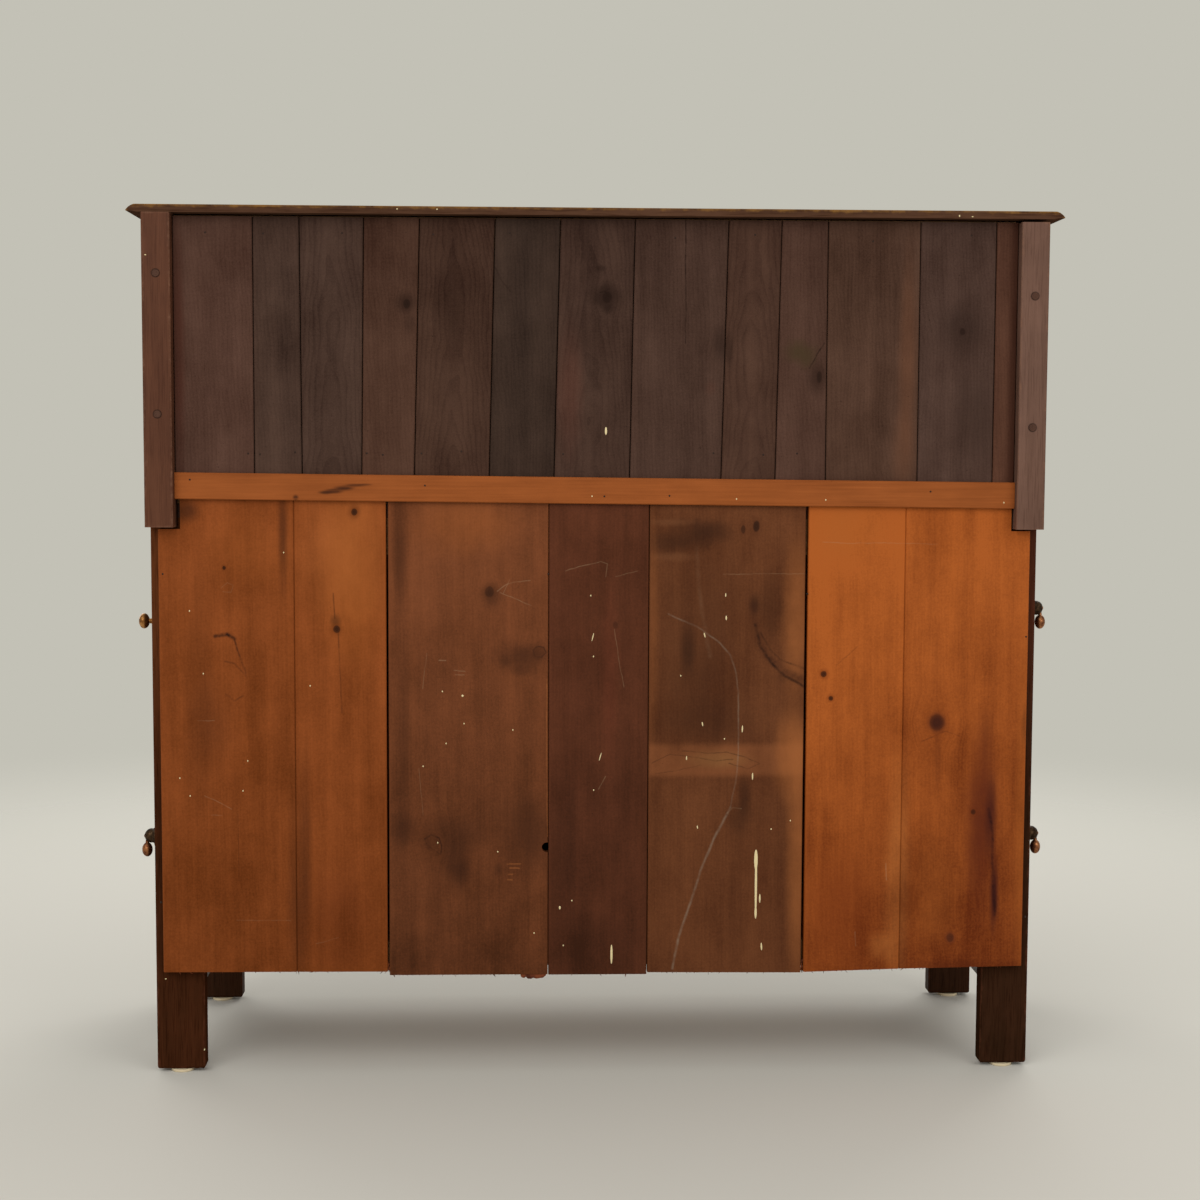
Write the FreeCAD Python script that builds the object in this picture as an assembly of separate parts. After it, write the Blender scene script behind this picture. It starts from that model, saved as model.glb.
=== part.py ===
import FreeCAD, Part
import math
import os

# A court cupboard in two stages: an upper cupboard set back behind turned columns
# under a moulded top, on a lower cupboard of framed panels with two doors.
# The back is what is seen most: narrow upright boards above, wide pine boards below.
# Millimetres, +Z up, front towards -Y, back towards +Y, origin under the middle.
# Left and right are those of someone facing the front, so left is -X.
# Depths are measured forwards from the back plane, the rear face of the upper stiles.

# Overall sizes. The lower stage is set in a little at each side.
HEIGHT = 1207.0
UPPER_WIDTH = 1238.0
LOWER_STEP_IN = 1.0
BASE_HEIGHT = 803.0
LOWER_DEPTH = 386.0

# Easing of the long edges of posts, stiles, boards and batten
EDGE_EASE = 1.2

# Moulded top
TOP_THICKNESS = 10.5
TOP_OVERHANG = 20.0
NOSE_RUN = 20.0
NOSE_DROP = 8.0
NOSE_LIP = 0.8
COVE_RUN = 15.0
COVE_HOLLOW = 0.6

# Upper rear stiles, and the tails that hook down behind the lower stage. The left one is short.
STILE_WIDTH = 38.5
STILE_DEPTH = 60.0
STILE_TAIL = 32.0
LEFT_STILE_HEAD_GAP = 4.0

# Drawbore pegs: the lower one's height above the base top, the upper one's drop below the top
RIGHT_PEG_INSETS = (122.0, 81.5)
LEFT_PEG_INSETS = (109.0, 104.5)
PEG_RADIUS = 4.9
PEG_HOLE_CLEARANCE = 0.1
PEG_LENGTH = 28.0
PEG_PROUD = 1.0

# Upper back boards, from the right stile to the left one, ripped a little out of parallel
UPPER_BOARD_HEADS = (108.8, 63.2, 87.6, 76.2, 103.0, 89.5, 102.3, 128.8, 73.2, 64.0, 128.0, 105.3, 31.1)
UPPER_BOARD_FEET = (108.8, 65.4, 81.0, 71.8, 103.0, 89.4, 104.6, 126.6, 75.4, 70.6, 128.0, 105.3, 31.1)
UPPER_BOARD_THICKNESS = 18.0
UPPER_BOARD_GAP = 1.2
UPPER_BOARD_TOP_GAP = 3.0
UPPER_BOARD_FOOT_RISE = 11.0

# Pine batten across the feet of those boards, nailed on a little out of level
BATTEN_HEIGHT = 36.5
BATTEN_THICKNESS = 6.0
BATTEN_RISE = 1.4
BATTEN_DROP = 10.0
BATTEN_END_GAP = 0.5

# Frieze, and the turned columns, whose shares are parts of the vase's height
FRIEZE_HEIGHT = 80.0
FRIEZE_THICKNESS = 22.0
COLUMN_INSET = 45.0
COLUMN_BLOCK = 70.0
COLUMN_PLINTH = 16.0
COLUMN_ABACUS = 16.0
TORUS_RADIUS = 34.0
TORUS_BULGE = 7.0
COLLAR_RADIUS = 22.0
COLLAR_HEIGHT = 4.0
VASE_RADIUS = 33.0
VASE_BELLY_SHARE = 0.3
VASE_TAPER_SHARE = 0.66
WAIST_RADIUS = 15.5
BEAD_RADIUS = 24.0
BEAD_BULGE = 4.5
NECK_HEIGHT = 24.0

# Recessed cupboard front of the upper stage
RECESS = 110.0
FACE_THICKNESS = 22.0
OUTER_STILE = 84.0
INNER_STILE = 50.0
CENTRE_PANEL_WIDTH = 300.0
FACE_BOTTOM_RAIL = 32.0
FACE_TOP_RAIL = 95.0
UPPER_SIDE_RAIL = 40.0

# Base top board
BASE_TOP_THICKNESS = 20.0
BASE_TOP_NOSING = 10.0
BASE_TOP_ROUND = 7.0
BASE_TOP_BACK_GAP = 1.0

# Lower posts, planks that run down as feet
POST_WIDTH = 67.0
FRONT_POST_DEPTH = 26.0
REAR_POST_DEPTH = 26.0
FOOT_ROUND = 5.0

# Glides nailed under the feet
GLIDE_RADIUS = 16.0
GLIDE_HEIGHT = 4.0
GLIDE_ROUND = 1.5

# Lower front, side and back frames
RAIL_CLEARANCE = 123.0
BOTTOM_RAIL = 62.0
FRONT_TOP_RAIL = 40.0
FRONT_RAIL_THICKNESS = 24.0
MUNTIN_WIDTH = 70.0
SIDE_STILE = 34.0
SIDE_TOP_RAIL = 45.0
SIDE_MIDDLE_RAIL = 50.0
SIDE_RAIL_THICKNESS = 24.0
SIDE_SETBACK = 6.0
BACK_RAIL_THICKNESS = 24.0
BACK_TOP_RAIL = 50.0
BACK_BOTTOM_RAIL = 34.0
UPPER_BACK_RAIL = 40.0
UPPER_BACK_RAIL_THICKNESS = 22.0
BOTTOM_BOARD_THICKNESS = 18.0
FLOOR_BEARER = 33.0

# Lower back boards, from the right post to the left one: the planks in each, the gaps
# between boards, and how high each board's foot is sawn at its edges and where its planks meet.
# The outer boards are two planks each.
LOWER_BOARD_PLANKS = ((186.0, 128.0), (223.5,), (139.5,), (220.0,), (138.0, 175.0))
LOWER_BOARD_GAPS = (3.0, 0.9, 1.2, 4.0)
LOWER_BOARD_FEET = ((147.7, 147.3, 146.9), (141.9, 141.9), (141.4, 141.4), (144.0, 142.5),
                    (143.2, 147.1, 150.4))
PLANK_GAP = 0.3
LOWER_BOARD_THICKNESS = 16.0
LOWER_BOARD_BACK = 20.0
LOWER_BOARD_INSET = 13.0
LOWER_BOARD_LAP = 8.0
RIGHT_NOTCH_SIDE_GAP = 6.0
LEFT_NOTCH_SIDE_GAP = 2.5
NOTCH_END_GAP = 3.0

# A loose knot has fallen out of the left edge of one board
KNOT_BOARD = 2
KNOT_HOLE_RADIUS = 7.0
KNOT_HOLE_INSET = 2.0
KNOT_HOLE_HEIGHT = 323.0

# Doors
DOOR_GAP = 1.5
UPPER_DOOR_THICKNESS = 20.0
UPPER_DOOR_STILE = 50.0
LOWER_DOOR_THICKNESS = 22.0
LOWER_DOOR_STILE = 62.0
LOWER_DOOR_MUNTIN = 50.0
FRAME_SPLAY = 5.0
PIN_RADIUS = 3.0
PIN_RUNNING_CLEARANCE = 0.06
PIN_SEAT_CLEARANCE = 0.02
PIN_SEAT = 15.0
PIN_ENGAGEMENT = 14.0
PIN_END_CLEARANCE = 0.5

# Raised and fielded panels; on a small panel the bevel keeps to its share of the half width
PANEL_THICKNESS = 13.0
PANEL_EDGE = 6.0
PANEL_TONGUE = 8.0
PANEL_BEVEL = 32.0
PANEL_BEVEL_SHARE = 0.6
PANEL_STEP = 1.5
PANEL_BACKSET = 4.0
PANEL_CLEARANCE = 0.4

# Brass knobs
KNOB_REACH = 25.8
KNOB_BALL_RADIUS = 10.8
KNOB_BALL_THICKNESS = 14.8
KNOB_BASE_RADIUS = 5.2
KNOB_NECK_RADIUS = 3.2

# Pulls on the rear stiles of the side frames: a fixed knob, and drops on rosettes, each
# a flange that hollows up to a button with a slotted crown
SIDE_KNOB_HEIGHT = 636.0
UPPER_PULL_HEIGHT = 656.0
LOWER_PULL_HEIGHT = 330.0
ROSETTE_RADIUS = 17.0
ROSETTE_RIM = 6.0
ROSETTE_HOLLOW = 4.5
ROSETTE_REACH = 21.0
BUTTON_RADIUS = 10.0
CROWN_RADIUS = 4.5
PIVOT_REACH = 18.5
PIVOT_RADIUS = 1.6
PIVOT_SEAT = 2.0
EYE_RADIUS = 4.0
EYE_WIDTH = 4.4
EYE_SIDE_CLEARANCE = 0.3
EYE_BACK_CLEARANCE = 0.5
DROP_LENGTH = 20.0
DROP_RADIUS = 7.3
DROP_HALF_HEIGHT = 10.2
DROP_NECK_RADIUS = 2.0
DROP_THROAT_RADIUS = 2.6

# How far a cutter stands past the wood it cuts, and how near two points count as one
CUTTER_SLACK = 1.0
SAME_POINT = 0.01

# Levels and depths that follow from the sizes above
half_upper = UPPER_WIDTH / 2
half_lower = half_upper - LOWER_STEP_IN
stile_inner = half_upper - STILE_WIDTH
post_inner = half_lower - POST_WIDTH
top_under = HEIGHT - TOP_THICKNESS
frieze_under = top_under - FRIEZE_HEIGHT
base_under = BASE_HEIGHT - BASE_TOP_THICKNESS
floor_level = RAIL_CLEARANCE + BOTTOM_RAIL
post_back = LOWER_BOARD_BACK + LOWER_BOARD_THICKNESS
post_front = post_back + LOWER_DEPTH
rear_post_front = post_back + REAR_POST_DEPTH
side_stile_front = rear_post_front + SIDE_STILE
front_post_back = post_front - FRONT_POST_DEPTH
front_rail_back = post_front - FRONT_RAIL_THICKNESS
back_rail_front = post_back + BACK_RAIL_THICKNESS
upper_board_back = post_back - UPPER_BOARD_THICKNESS
face_front = post_front - RECESS
face_back = face_front - FACE_THICKNESS
frieze_inner = half_upper - FRIEZE_THICKNESS
door_outer = half_upper - OUTER_STILE
door_inner = CENTRE_PANEL_WIDTH / 2 + INNER_STILE
upper_door_bottom = BASE_HEIGHT + FACE_BOTTOM_RAIL
upper_door_top = top_under - FACE_TOP_RAIL
lower_door_top = base_under - FRONT_TOP_RAIL
side_rail_outer = half_lower - SIDE_SETBACK
side_rail_inner = side_rail_outer - SIDE_RAIL_THICKNESS
top_front = post_front + TOP_OVERHANG
front_reach = max(top_front, post_front + KNOB_REACH)
back_y = (front_reach - PEG_PROUD) / 2

V = FreeCAD.Vector
ORIGIN = V(0, 0, 0)
X_AXIS = V(1, 0, 0)
Y_AXIS = V(0, 1, 0)
Z_AXIS = V(0, 0, 1)


def y_at(depth):
    return back_y - depth


def block(x0, x1, depth0, depth1, z0, z1):
    return Part.makeBox(x1 - x0, depth1 - depth0, z1 - z0, V(x0, y_at(depth1), z0))


def outline(points):
    return Part.Face(Part.makePolygon(list(points) + [points[0]]))


def edges_face(curves):
    return Part.Face(Part.Wire([curve.toShape() for curve in curves]))


def eased_upright(left, right, back, front, z0, z1, all_round=False):
    # A board, stile or post on end with its rear edges eased, or all four
    rear = [(right, back + EDGE_EASE), (right - EDGE_EASE, back),
            (left + EDGE_EASE, back), (left, back + EDGE_EASE)]
    square = [(left, front), (right, front)]
    eased = [(left, front - EDGE_EASE), (left + EDGE_EASE, front),
             (right - EDGE_EASE, front), (right, front - EDGE_EASE)]
    section = rear + (eased if all_round else square)
    return outline([V(x, y_at(depth), z0) for x, depth in section]).extrude(Z_AXIS * (z1 - z0))


def mirrored(shape):
    return shape.mirror(ORIGIN, X_AXIS)


def turned(curves, axis):
    return edges_face(curves).revolve(ORIGIN, axis, 360)


def placed(shape, position, turn=0):
    moved = shape.copy()
    moved.rotate(ORIGIN, Z_AXIS, turn)
    moved.translate(position)
    return moved


def save(name, *shapes):
    shape = shapes[0] if len(shapes) == 1 else Part.makeCompound(list(shapes))
    shape.exportStep("parts/" + name + ".step")


os.makedirs("parts", exist_ok=True)

# Raised and fielded panels, each with the tongue that its frame is grooved for

def panel_section(size):
    half = size / 2
    shoulder = half - PANEL_TONGUE
    field = shoulder - min(PANEL_BEVEL, PANEL_BEVEL_SHARE * shoulder)
    bevel_top = PANEL_THICKNESS - PANEL_STEP
    right = [(half, 0), (half, PANEL_EDGE), (shoulder, PANEL_EDGE),
             (field, bevel_top), (field, PANEL_THICKNESS)]
    left = [(-across, height) for across, height in reversed(right)]
    return right + left


def fielded_panel(width, height):
    # Back in the plane y = 0, field towards -Y, opening centred on x = 0 with its foot at z = 0
    wide = width + 2 * PANEL_TONGUE
    tall = height + 2 * PANEL_TONGUE
    across = outline([V(u, -v, -PANEL_TONGUE) for u, v in panel_section(wide)])
    along = outline([V(-wide / 2, -v, height / 2 + u) for u, v in panel_section(tall)])
    return across.extrude(Z_AXIS * tall).common(along.extrude(X_AXIS * wide))


def panel_groove(width, height):
    reach = PANEL_TONGUE + PANEL_CLEARANCE
    corner = V(-width / 2 - reach, -PANEL_EDGE - PANEL_CLEARANCE, -reach)
    return Part.makeBox(width + 2 * reach, PANEL_EDGE + 2 * PANEL_CLEARANCE, height + 2 * reach, corner)


# Top board with a rounded nose over a cove, worked on the front and the two ends

def edge_waste(tip, length):
    # What the moulding planes remove along an edge whose tip lies at x = tip
    nose_end = TOP_THICKNESS - NOSE_DROP
    lip_end = nose_end - NOSE_LIP
    outside = tip + CUTTER_SLACK
    above = TOP_THICKNESS + CUTTER_SLACK
    nose_start = tip - NOSE_RUN
    cove_end = tip - COVE_RUN
    halfway = 1 - math.cos(math.pi / 4)
    crown = V(tip - halfway * NOSE_RUN, 0, TOP_THICKNESS - halfway * NOSE_DROP)
    hollow = V(tip - COVE_RUN / 2 - COVE_HOLLOW, 0, lip_end / 2 + COVE_HOLLOW)
    nose_corners = [V(tip, 0, nose_end), V(outside, 0, nose_end), V(outside, 0, above),
                    V(nose_start, 0, above), V(nose_start, 0, TOP_THICKNESS)]
    cove_corners = [V(cove_end, 0, 0), V(cove_end, 0, -CUTTER_SLACK), V(outside, 0, -CUTTER_SLACK),
                    V(outside, 0, lip_end), V(tip, 0, lip_end)]
    cuts = []
    for corners, bow in ((nose_corners, crown), (cove_corners, hollow)):
        curves = [Part.LineSegment(a, b) for a, b in zip(corners, corners[1:])]
        curves.append(Part.Arc(corners[-1], bow, corners[0]))
        cuts.append(edges_face(curves).extrude(Y_AXIS * length))
    waste = Part.makeCompound(cuts)
    waste.translate(V(0, -length / 2, 0))
    return waste


def top_board():
    half_top = half_upper + TOP_OVERHANG
    board = Part.makeBox(2 * half_top, top_front, TOP_THICKNESS, V(-half_top, y_at(top_front), 0))
    cutter_length = 2 * (half_top + top_front)
    end_waste = edge_waste(half_top, cutter_length)
    front_waste = placed(edge_waste(top_front - back_y, cutter_length), ORIGIN, -90)
    board = board.cut(end_waste).cut(mirrored(end_waste)).cut(front_waste)
    board.translate(V(0, 0, top_under))
    return board


save("top_board", top_board())

# Upper sides: bottom rail and fielded panel between the rear stile and the recessed front

upper_side_width = face_back - STILE_DEPTH
upper_side_foot = BASE_HEIGHT + UPPER_SIDE_RAIL
upper_side_height = frieze_under - upper_side_foot
upper_side_place = V(frieze_inner + PANEL_BACKSET, y_at((STILE_DEPTH + face_back) / 2), upper_side_foot)
upper_side_groove = placed(panel_groove(upper_side_width, upper_side_height), upper_side_place, 90)
upper_side_panel = placed(fielded_panel(upper_side_width, upper_side_height), upper_side_place, 90)
upper_side_rail = block(frieze_inner, half_upper, STILE_DEPTH, face_back, BASE_HEIGHT, upper_side_foot)
upper_side_rail = upper_side_rail.cut(upper_side_groove)
save("upper_right_side", upper_side_rail, upper_side_panel)
save("upper_left_side", mirrored(upper_side_rail), mirrored(upper_side_panel))

# Upper rear stiles, drawbored, with tails that drop behind the lower stage

peg_x = half_upper - STILE_WIDTH / 2


def peg_heights(insets):
    return (BASE_HEIGHT + insets[0], top_under - insets[1])


def peg(height, radius, depth):
    return Part.makeCylinder(radius, depth, V(peg_x, y_at(PEG_LENGTH), height), Y_AXIS)


def upper_stile(insets, head):
    stile = eased_upright(stile_inner, half_upper, 0, STILE_DEPTH, BASE_HEIGHT, head)
    tail = eased_upright(stile_inner, half_upper, 0, post_back, BASE_HEIGHT - STILE_TAIL, BASE_HEIGHT)
    stile = stile.fuse(tail).removeSplitter().cut(upper_side_groove)
    for height in peg_heights(insets):
        stile = stile.cut(peg(height, PEG_RADIUS + PEG_HOLE_CLEARANCE, PEG_LENGTH))
    return stile


def pegs(insets):
    return [peg(height, PEG_RADIUS, PEG_LENGTH + PEG_PROUD) for height in peg_heights(insets)]


save("upper_right_stile", upper_stile(RIGHT_PEG_INSETS, top_under))
save("upper_left_stile", mirrored(upper_stile(LEFT_PEG_INSETS, top_under - LEFT_STILE_HEAD_GAP)))
save("stile_pegs", *pegs(RIGHT_PEG_INSETS), *[mirrored(one) for one in pegs(LEFT_PEG_INSETS)])

# Upper back boards between the stiles, in line above the lower ones and nailed to the same plane

upper_board_foot = BASE_HEIGHT + UPPER_BOARD_FOOT_RISE
upper_board_head = top_under - UPPER_BOARD_TOP_GAP


def board_edges(widths):
    # Where boards of these widths meet, once they fill the space between the stiles
    fill = 2 * stile_inner / sum(widths)
    edges = [stile_inner]
    for width in widths:
        edges.append(edges[-1] - width * fill)
    return edges


def upper_board(number):
    foot_right, foot_left = board_edges(UPPER_BOARD_FEET)[number - 1:number + 1]
    head_right, head_left = board_edges(UPPER_BOARD_HEADS)[number - 1:number + 1]
    inset = UPPER_BOARD_GAP / 2
    corners = [(foot_right - inset, upper_board_foot), (foot_left + inset, upper_board_foot),
               (head_left + inset, upper_board_head), (head_right - inset, upper_board_head)]
    face = outline([V(x, y_at(post_back), z) for x, z in corners])
    board = face.extrude(Y_AXIS * UPPER_BOARD_THICKNESS)
    rear = y_at(upper_board_back)
    long_edges = [one for one in board.Edges
                  if one.BoundBox.YMin > rear - SAME_POINT and one.BoundBox.ZLength > SAME_POINT]
    return board.makeChamfer(EDGE_EASE, long_edges)


for number in range(1, len(UPPER_BOARD_HEADS) + 1):
    save("upper_back_board_%02d" % number, upper_board(number))

# Batten over the joint of the upper and lower boards, higher at the right end, its rear edges eased

batten_half = stile_inner - BATTEN_END_GAP
batten_rear = y_at(upper_board_back - BATTEN_THICKNESS)


def batten_under(x):
    return BASE_HEIGHT + BATTEN_RISE + BATTEN_DROP / 2 * x / batten_half


def batten():
    ends = ((-batten_half, 0), (batten_half, 0), (batten_half, BATTEN_HEIGHT), (-batten_half, BATTEN_HEIGHT))
    face = outline([V(x, y_at(upper_board_back), batten_under(x) + rise) for x, rise in ends])
    bar = face.extrude(Y_AXIS * BATTEN_THICKNESS)
    rear_edges = [one for one in bar.Edges
                  if one.BoundBox.YMin > batten_rear - SAME_POINT and one.BoundBox.XLength > batten_half]
    return bar.makeChamfer(EDGE_EASE, rear_edges)


save("back_batten", batten())

# Frieze rails under the top: two sides and the front between them

frieze_side = block(frieze_inner, half_upper, STILE_DEPTH, post_front, frieze_under, top_under)
frieze_side = frieze_side.cut(upper_side_groove)
frieze_back = post_front - FRIEZE_THICKNESS
frieze_front = block(-frieze_inner, frieze_inner, frieze_back, post_front, frieze_under, top_under)
save("frieze", mirrored(frieze_side), frieze_side, frieze_front)

# Turned columns with square ends, under the front corners of the frieze

def column():
    turned_foot = BASE_HEIGHT + COLUMN_PLINTH
    turned_height = frieze_under - COLUMN_ABACUS - turned_foot
    torus = 2 * TORUS_BULGE
    bead = 2 * BEAD_BULGE
    vase_foot = torus + COLLAR_HEIGHT
    vase_head = turned_height - torus - NECK_HEIGHT - bead
    vase = vase_head - vase_foot
    bead_head = vase_head + bead
    neck_head = bead_head + NECK_HEIGHT
    torus_side = TORUS_RADIUS - TORUS_BULGE
    bead_side = BEAD_RADIUS - BEAD_BULGE

    def at(radius, height):
        return V(radius, 0, height)

    swell = Part.BSplineCurve()
    swell.interpolate([at(COLLAR_RADIUS, vase_foot),
                       at(VASE_RADIUS, vase_foot + VASE_BELLY_SHARE * vase),
                       at((VASE_RADIUS + WAIST_RADIUS) / 2, vase_foot + VASE_TAPER_SHARE * vase),
                       at(WAIST_RADIUS, vase_head)])
    neck_middle = at(WAIST_RADIUS, (bead_head + neck_head) / 2)
    corners = [at(0, 0), at(torus_side, 0), at(torus_side, torus), at(COLLAR_RADIUS, torus),
               at(COLLAR_RADIUS, vase_foot), at(WAIST_RADIUS, vase_head), at(bead_side, vase_head),
               at(bead_side, bead_head), at(torus_side, neck_head), at(torus_side, turned_height),
               at(0, turned_height)]
    curves = [Part.LineSegment(corners[0], corners[1]),
              Part.Arc(corners[1], at(TORUS_RADIUS, torus / 2), corners[2]),
              Part.LineSegment(corners[2], corners[3]),
              Part.LineSegment(corners[3], corners[4]),
              swell,
              Part.LineSegment(corners[5], corners[6]),
              Part.Arc(corners[6], at(BEAD_RADIUS, vase_head + BEAD_BULGE), corners[7]),
              Part.Arc(corners[7], neck_middle, corners[8]),
              Part.Arc(corners[8], at(TORUS_RADIUS, neck_head + TORUS_BULGE), corners[9]),
              Part.LineSegment(corners[9], corners[10]),
              Part.LineSegment(corners[10], corners[0])]
    shaft = turned(curves, Z_AXIS)
    centre = V(half_upper - COLUMN_INSET, y_at(post_front - COLUMN_INSET), 0)
    shaft.translate(centre + V(0, 0, turned_foot))
    corner = centre - V(COLUMN_BLOCK / 2, COLUMN_BLOCK / 2, 0)
    plinth_place = corner + V(0, 0, BASE_HEIGHT)
    abacus_place = corner + V(0, 0, frieze_under - COLUMN_ABACUS)
    plinth = Part.makeBox(COLUMN_BLOCK, COLUMN_BLOCK, COLUMN_PLINTH, plinth_place)
    abacus = Part.makeBox(COLUMN_BLOCK, COLUMN_BLOCK, COLUMN_ABACUS, abacus_place)
    return shaft.fuse([plinth, abacus])


save("right_column", column())
save("left_column", mirrored(column()))

# Door pins: one in the rail above and one in the rail below each door's hinge edge

def door_pin_seats(axis_x, axis_depth, z0, z1, radius):
    length = PIN_SEAT + DOOR_GAP + PIN_ENGAGEMENT
    lower = Part.makeCylinder(radius, length, V(axis_x, y_at(axis_depth), z0 - PIN_SEAT))
    upper = Part.makeCylinder(radius, length, V(axis_x, y_at(axis_depth), z1 + PIN_SEAT - length))
    return [lower, upper]


upper_axis_x = door_outer - DOOR_GAP - UPPER_DOOR_THICKNESS / 2
upper_axis_depth = face_front - UPPER_DOOR_THICKNESS / 2
lower_axis_x = post_inner - DOOR_GAP - LOWER_DOOR_THICKNESS / 2
lower_axis_depth = post_front - LOWER_DOOR_THICKNESS / 2
upper_pin_place = (upper_axis_x, upper_axis_depth, upper_door_bottom, upper_door_top)
lower_pin_place = (lower_axis_x, lower_axis_depth, floor_level, lower_door_top)
right_pins = door_pin_seats(*upper_pin_place, PIN_RADIUS) + door_pin_seats(*lower_pin_place, PIN_RADIUS)
save("door_pins", *right_pins, *[mirrored(pin) for pin in right_pins])


def drilled_for_pins(rail, place):
    for hole in door_pin_seats(*place, PIN_RADIUS + PIN_SEAT_CLEARANCE):
        rail = rail.cut(hole).cut(mirrored(hole))
    return rail


# Recessed front of the upper stage: stiles and rails round two doors and a fixed panel

centre_half = CENTRE_PANEL_WIDTH / 2
centre_height = upper_door_top - upper_door_bottom
centre_place = V(0, y_at(face_back + PANEL_BACKSET), upper_door_bottom)
centre_groove = placed(panel_groove(CENTRE_PANEL_WIDTH, centre_height), centre_place)
outer_stile_corners = ((door_outer, BASE_HEIGHT), (half_upper, BASE_HEIGHT), (half_upper, frieze_under),
                       (frieze_inner, frieze_under), (frieze_inner, top_under), (door_outer, top_under))
outer_stile = outline([V(x, y_at(face_back), z) for x, z in outer_stile_corners])
outer_stile = outer_stile.extrude(Y_AXIS * -FACE_THICKNESS).cut(upper_side_groove)
inner_stile = block(centre_half, door_inner, face_back, face_front, upper_door_bottom, upper_door_top)
inner_stile = inner_stile.cut(centre_groove)
face_top = block(-door_outer, door_outer, face_back, face_front, upper_door_top, top_under)
face_foot = block(-door_outer, door_outer, face_back, face_front, BASE_HEIGHT, upper_door_bottom)
face_top = drilled_for_pins(face_top.cut(centre_groove), upper_pin_place)
face_foot = drilled_for_pins(face_foot.cut(centre_groove), upper_pin_place)
face_stiles = [mirrored(outer_stile), outer_stile, mirrored(inner_stile), inner_stile]
save("face_frame", *face_stiles, face_top, face_foot)
save("centre_panel", placed(fielded_panel(CENTRE_PANEL_WIDTH, centre_height), centre_place))

# Panelled doors: stiles, rails and a muntin, with splayed edges round each light, grooves
# for the panels, and a hinge edge rounded about the pins that it is bored for

def splayed_opening(x0, x1, z0, z1, thickness):
    through = Part.makeBox(x1 - x0, thickness, z1 - z0, V(x0, -thickness, z0))
    rims = []
    for spread, y in ((FRAME_SPLAY, -thickness), (0, FRAME_SPLAY - thickness)):
        corners = [V(x0 - spread, y, z0 - spread), V(x1 + spread, y, z0 - spread),
                   V(x1 + spread, y, z1 + spread), V(x0 - spread, y, z1 + spread)]
        rims.append(Part.makePolygon(corners + corners[:1]))
    return through.fuse(Part.makeLoft(rims, True, True))


def door_frame(width, height, thickness, stile, lights):
    # Back in the plane y = 0, free edge at x = 0, hinge edge at x = width
    axis_x = width - thickness / 2
    frame = Part.makeBox(axis_x, thickness, height, V(0, -thickness, 0))
    rounded_edge = Part.makeCylinder(thickness / 2, height, V(axis_x, -thickness / 2, 0))
    frame = frame.fuse(rounded_edge).removeSplitter()
    for x0, x1, z0, z1 in lights:
        frame = frame.cut(splayed_opening(x0, x1, z0, z1, thickness))
        groove_place = V((x0 + x1) / 2, -PANEL_BACKSET, z0)
        frame = frame.cut(placed(panel_groove(x1 - x0, z1 - z0), groove_place))
    bore = PIN_RADIUS + PIN_RUNNING_CLEARANCE
    depth = PIN_ENGAGEMENT + PIN_END_CLEARANCE
    for z in (0, height - depth):
        frame = frame.cut(Part.makeCylinder(bore, depth, V(axis_x, -thickness / 2, z)))
    members = [(0, stile, 0, height), (width - stile, width, 0, height),
               (stile, width - stile, 0, stile), (stile, width - stile, height - stile, height)]
    for light, next_light in zip(lights, lights[1:]):
        members.append((light[1], next_light[0], stile, height - stile))
    return [frame.common(Part.makeBox(x1 - x0, thickness, z1 - z0, V(x0, -thickness, z0)))
            for x0, x1, z0, z1 in members]


def door_panels(lights):
    return [placed(fielded_panel(x1 - x0, z1 - z0), V((x0 + x1) / 2, -PANEL_BACKSET, z0))
            for x0, x1, z0, z1 in lights]


# Brass knob: tapered neck and flattened ball, built along +Z from its seat

def knob():
    centre = KNOB_REACH - KNOB_BALL_THICKNESS / 2
    ball = Part.Ellipse(V(-KNOB_BALL_RADIUS, 0, centre), V(0, 0, KNOB_REACH), V(0, 0, centre))
    neck_share = KNOB_NECK_RADIUS / KNOB_BALL_RADIUS
    throat_drop = KNOB_BALL_THICKNESS / 2 * (1 - neck_share ** 2) ** 0.5
    throat = V(KNOB_NECK_RADIUS, 0, centre - throat_drop)
    tip = V(0, 0, KNOB_REACH)
    arc = Part.ArcOfEllipse(ball, math.pi / 2, math.pi + math.acos(neck_share))
    base = V(KNOB_BASE_RADIUS, 0, 0)
    curves = [Part.LineSegment(ORIGIN, base), Part.LineSegment(base, throat), arc.toBSpline(),
              Part.LineSegment(tip, ORIGIN)]
    return turned(curves, Z_AXIS)


def front_knob(x, depth, z):
    shape = knob()
    shape.rotate(ORIGIN, X_AXIS, 90)
    shape.translate(V(x, y_at(depth), z))
    return shape


def hang_doors(stage, corner, frame, panels, knob_shape):
    # The right-hand door as built, and its mirror image on the left
    pieces = (("_frame", [placed(member, corner) for member in frame]),
              ("_panel", [placed(panel, corner) for panel in panels]),
              ("_knob", [knob_shape]))
    for ending, shapes in pieces:
        save(stage + "_right_door" + ending, *shapes)
        save(stage + "_left_door" + ending, *[mirrored(shape) for shape in shapes])


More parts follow.
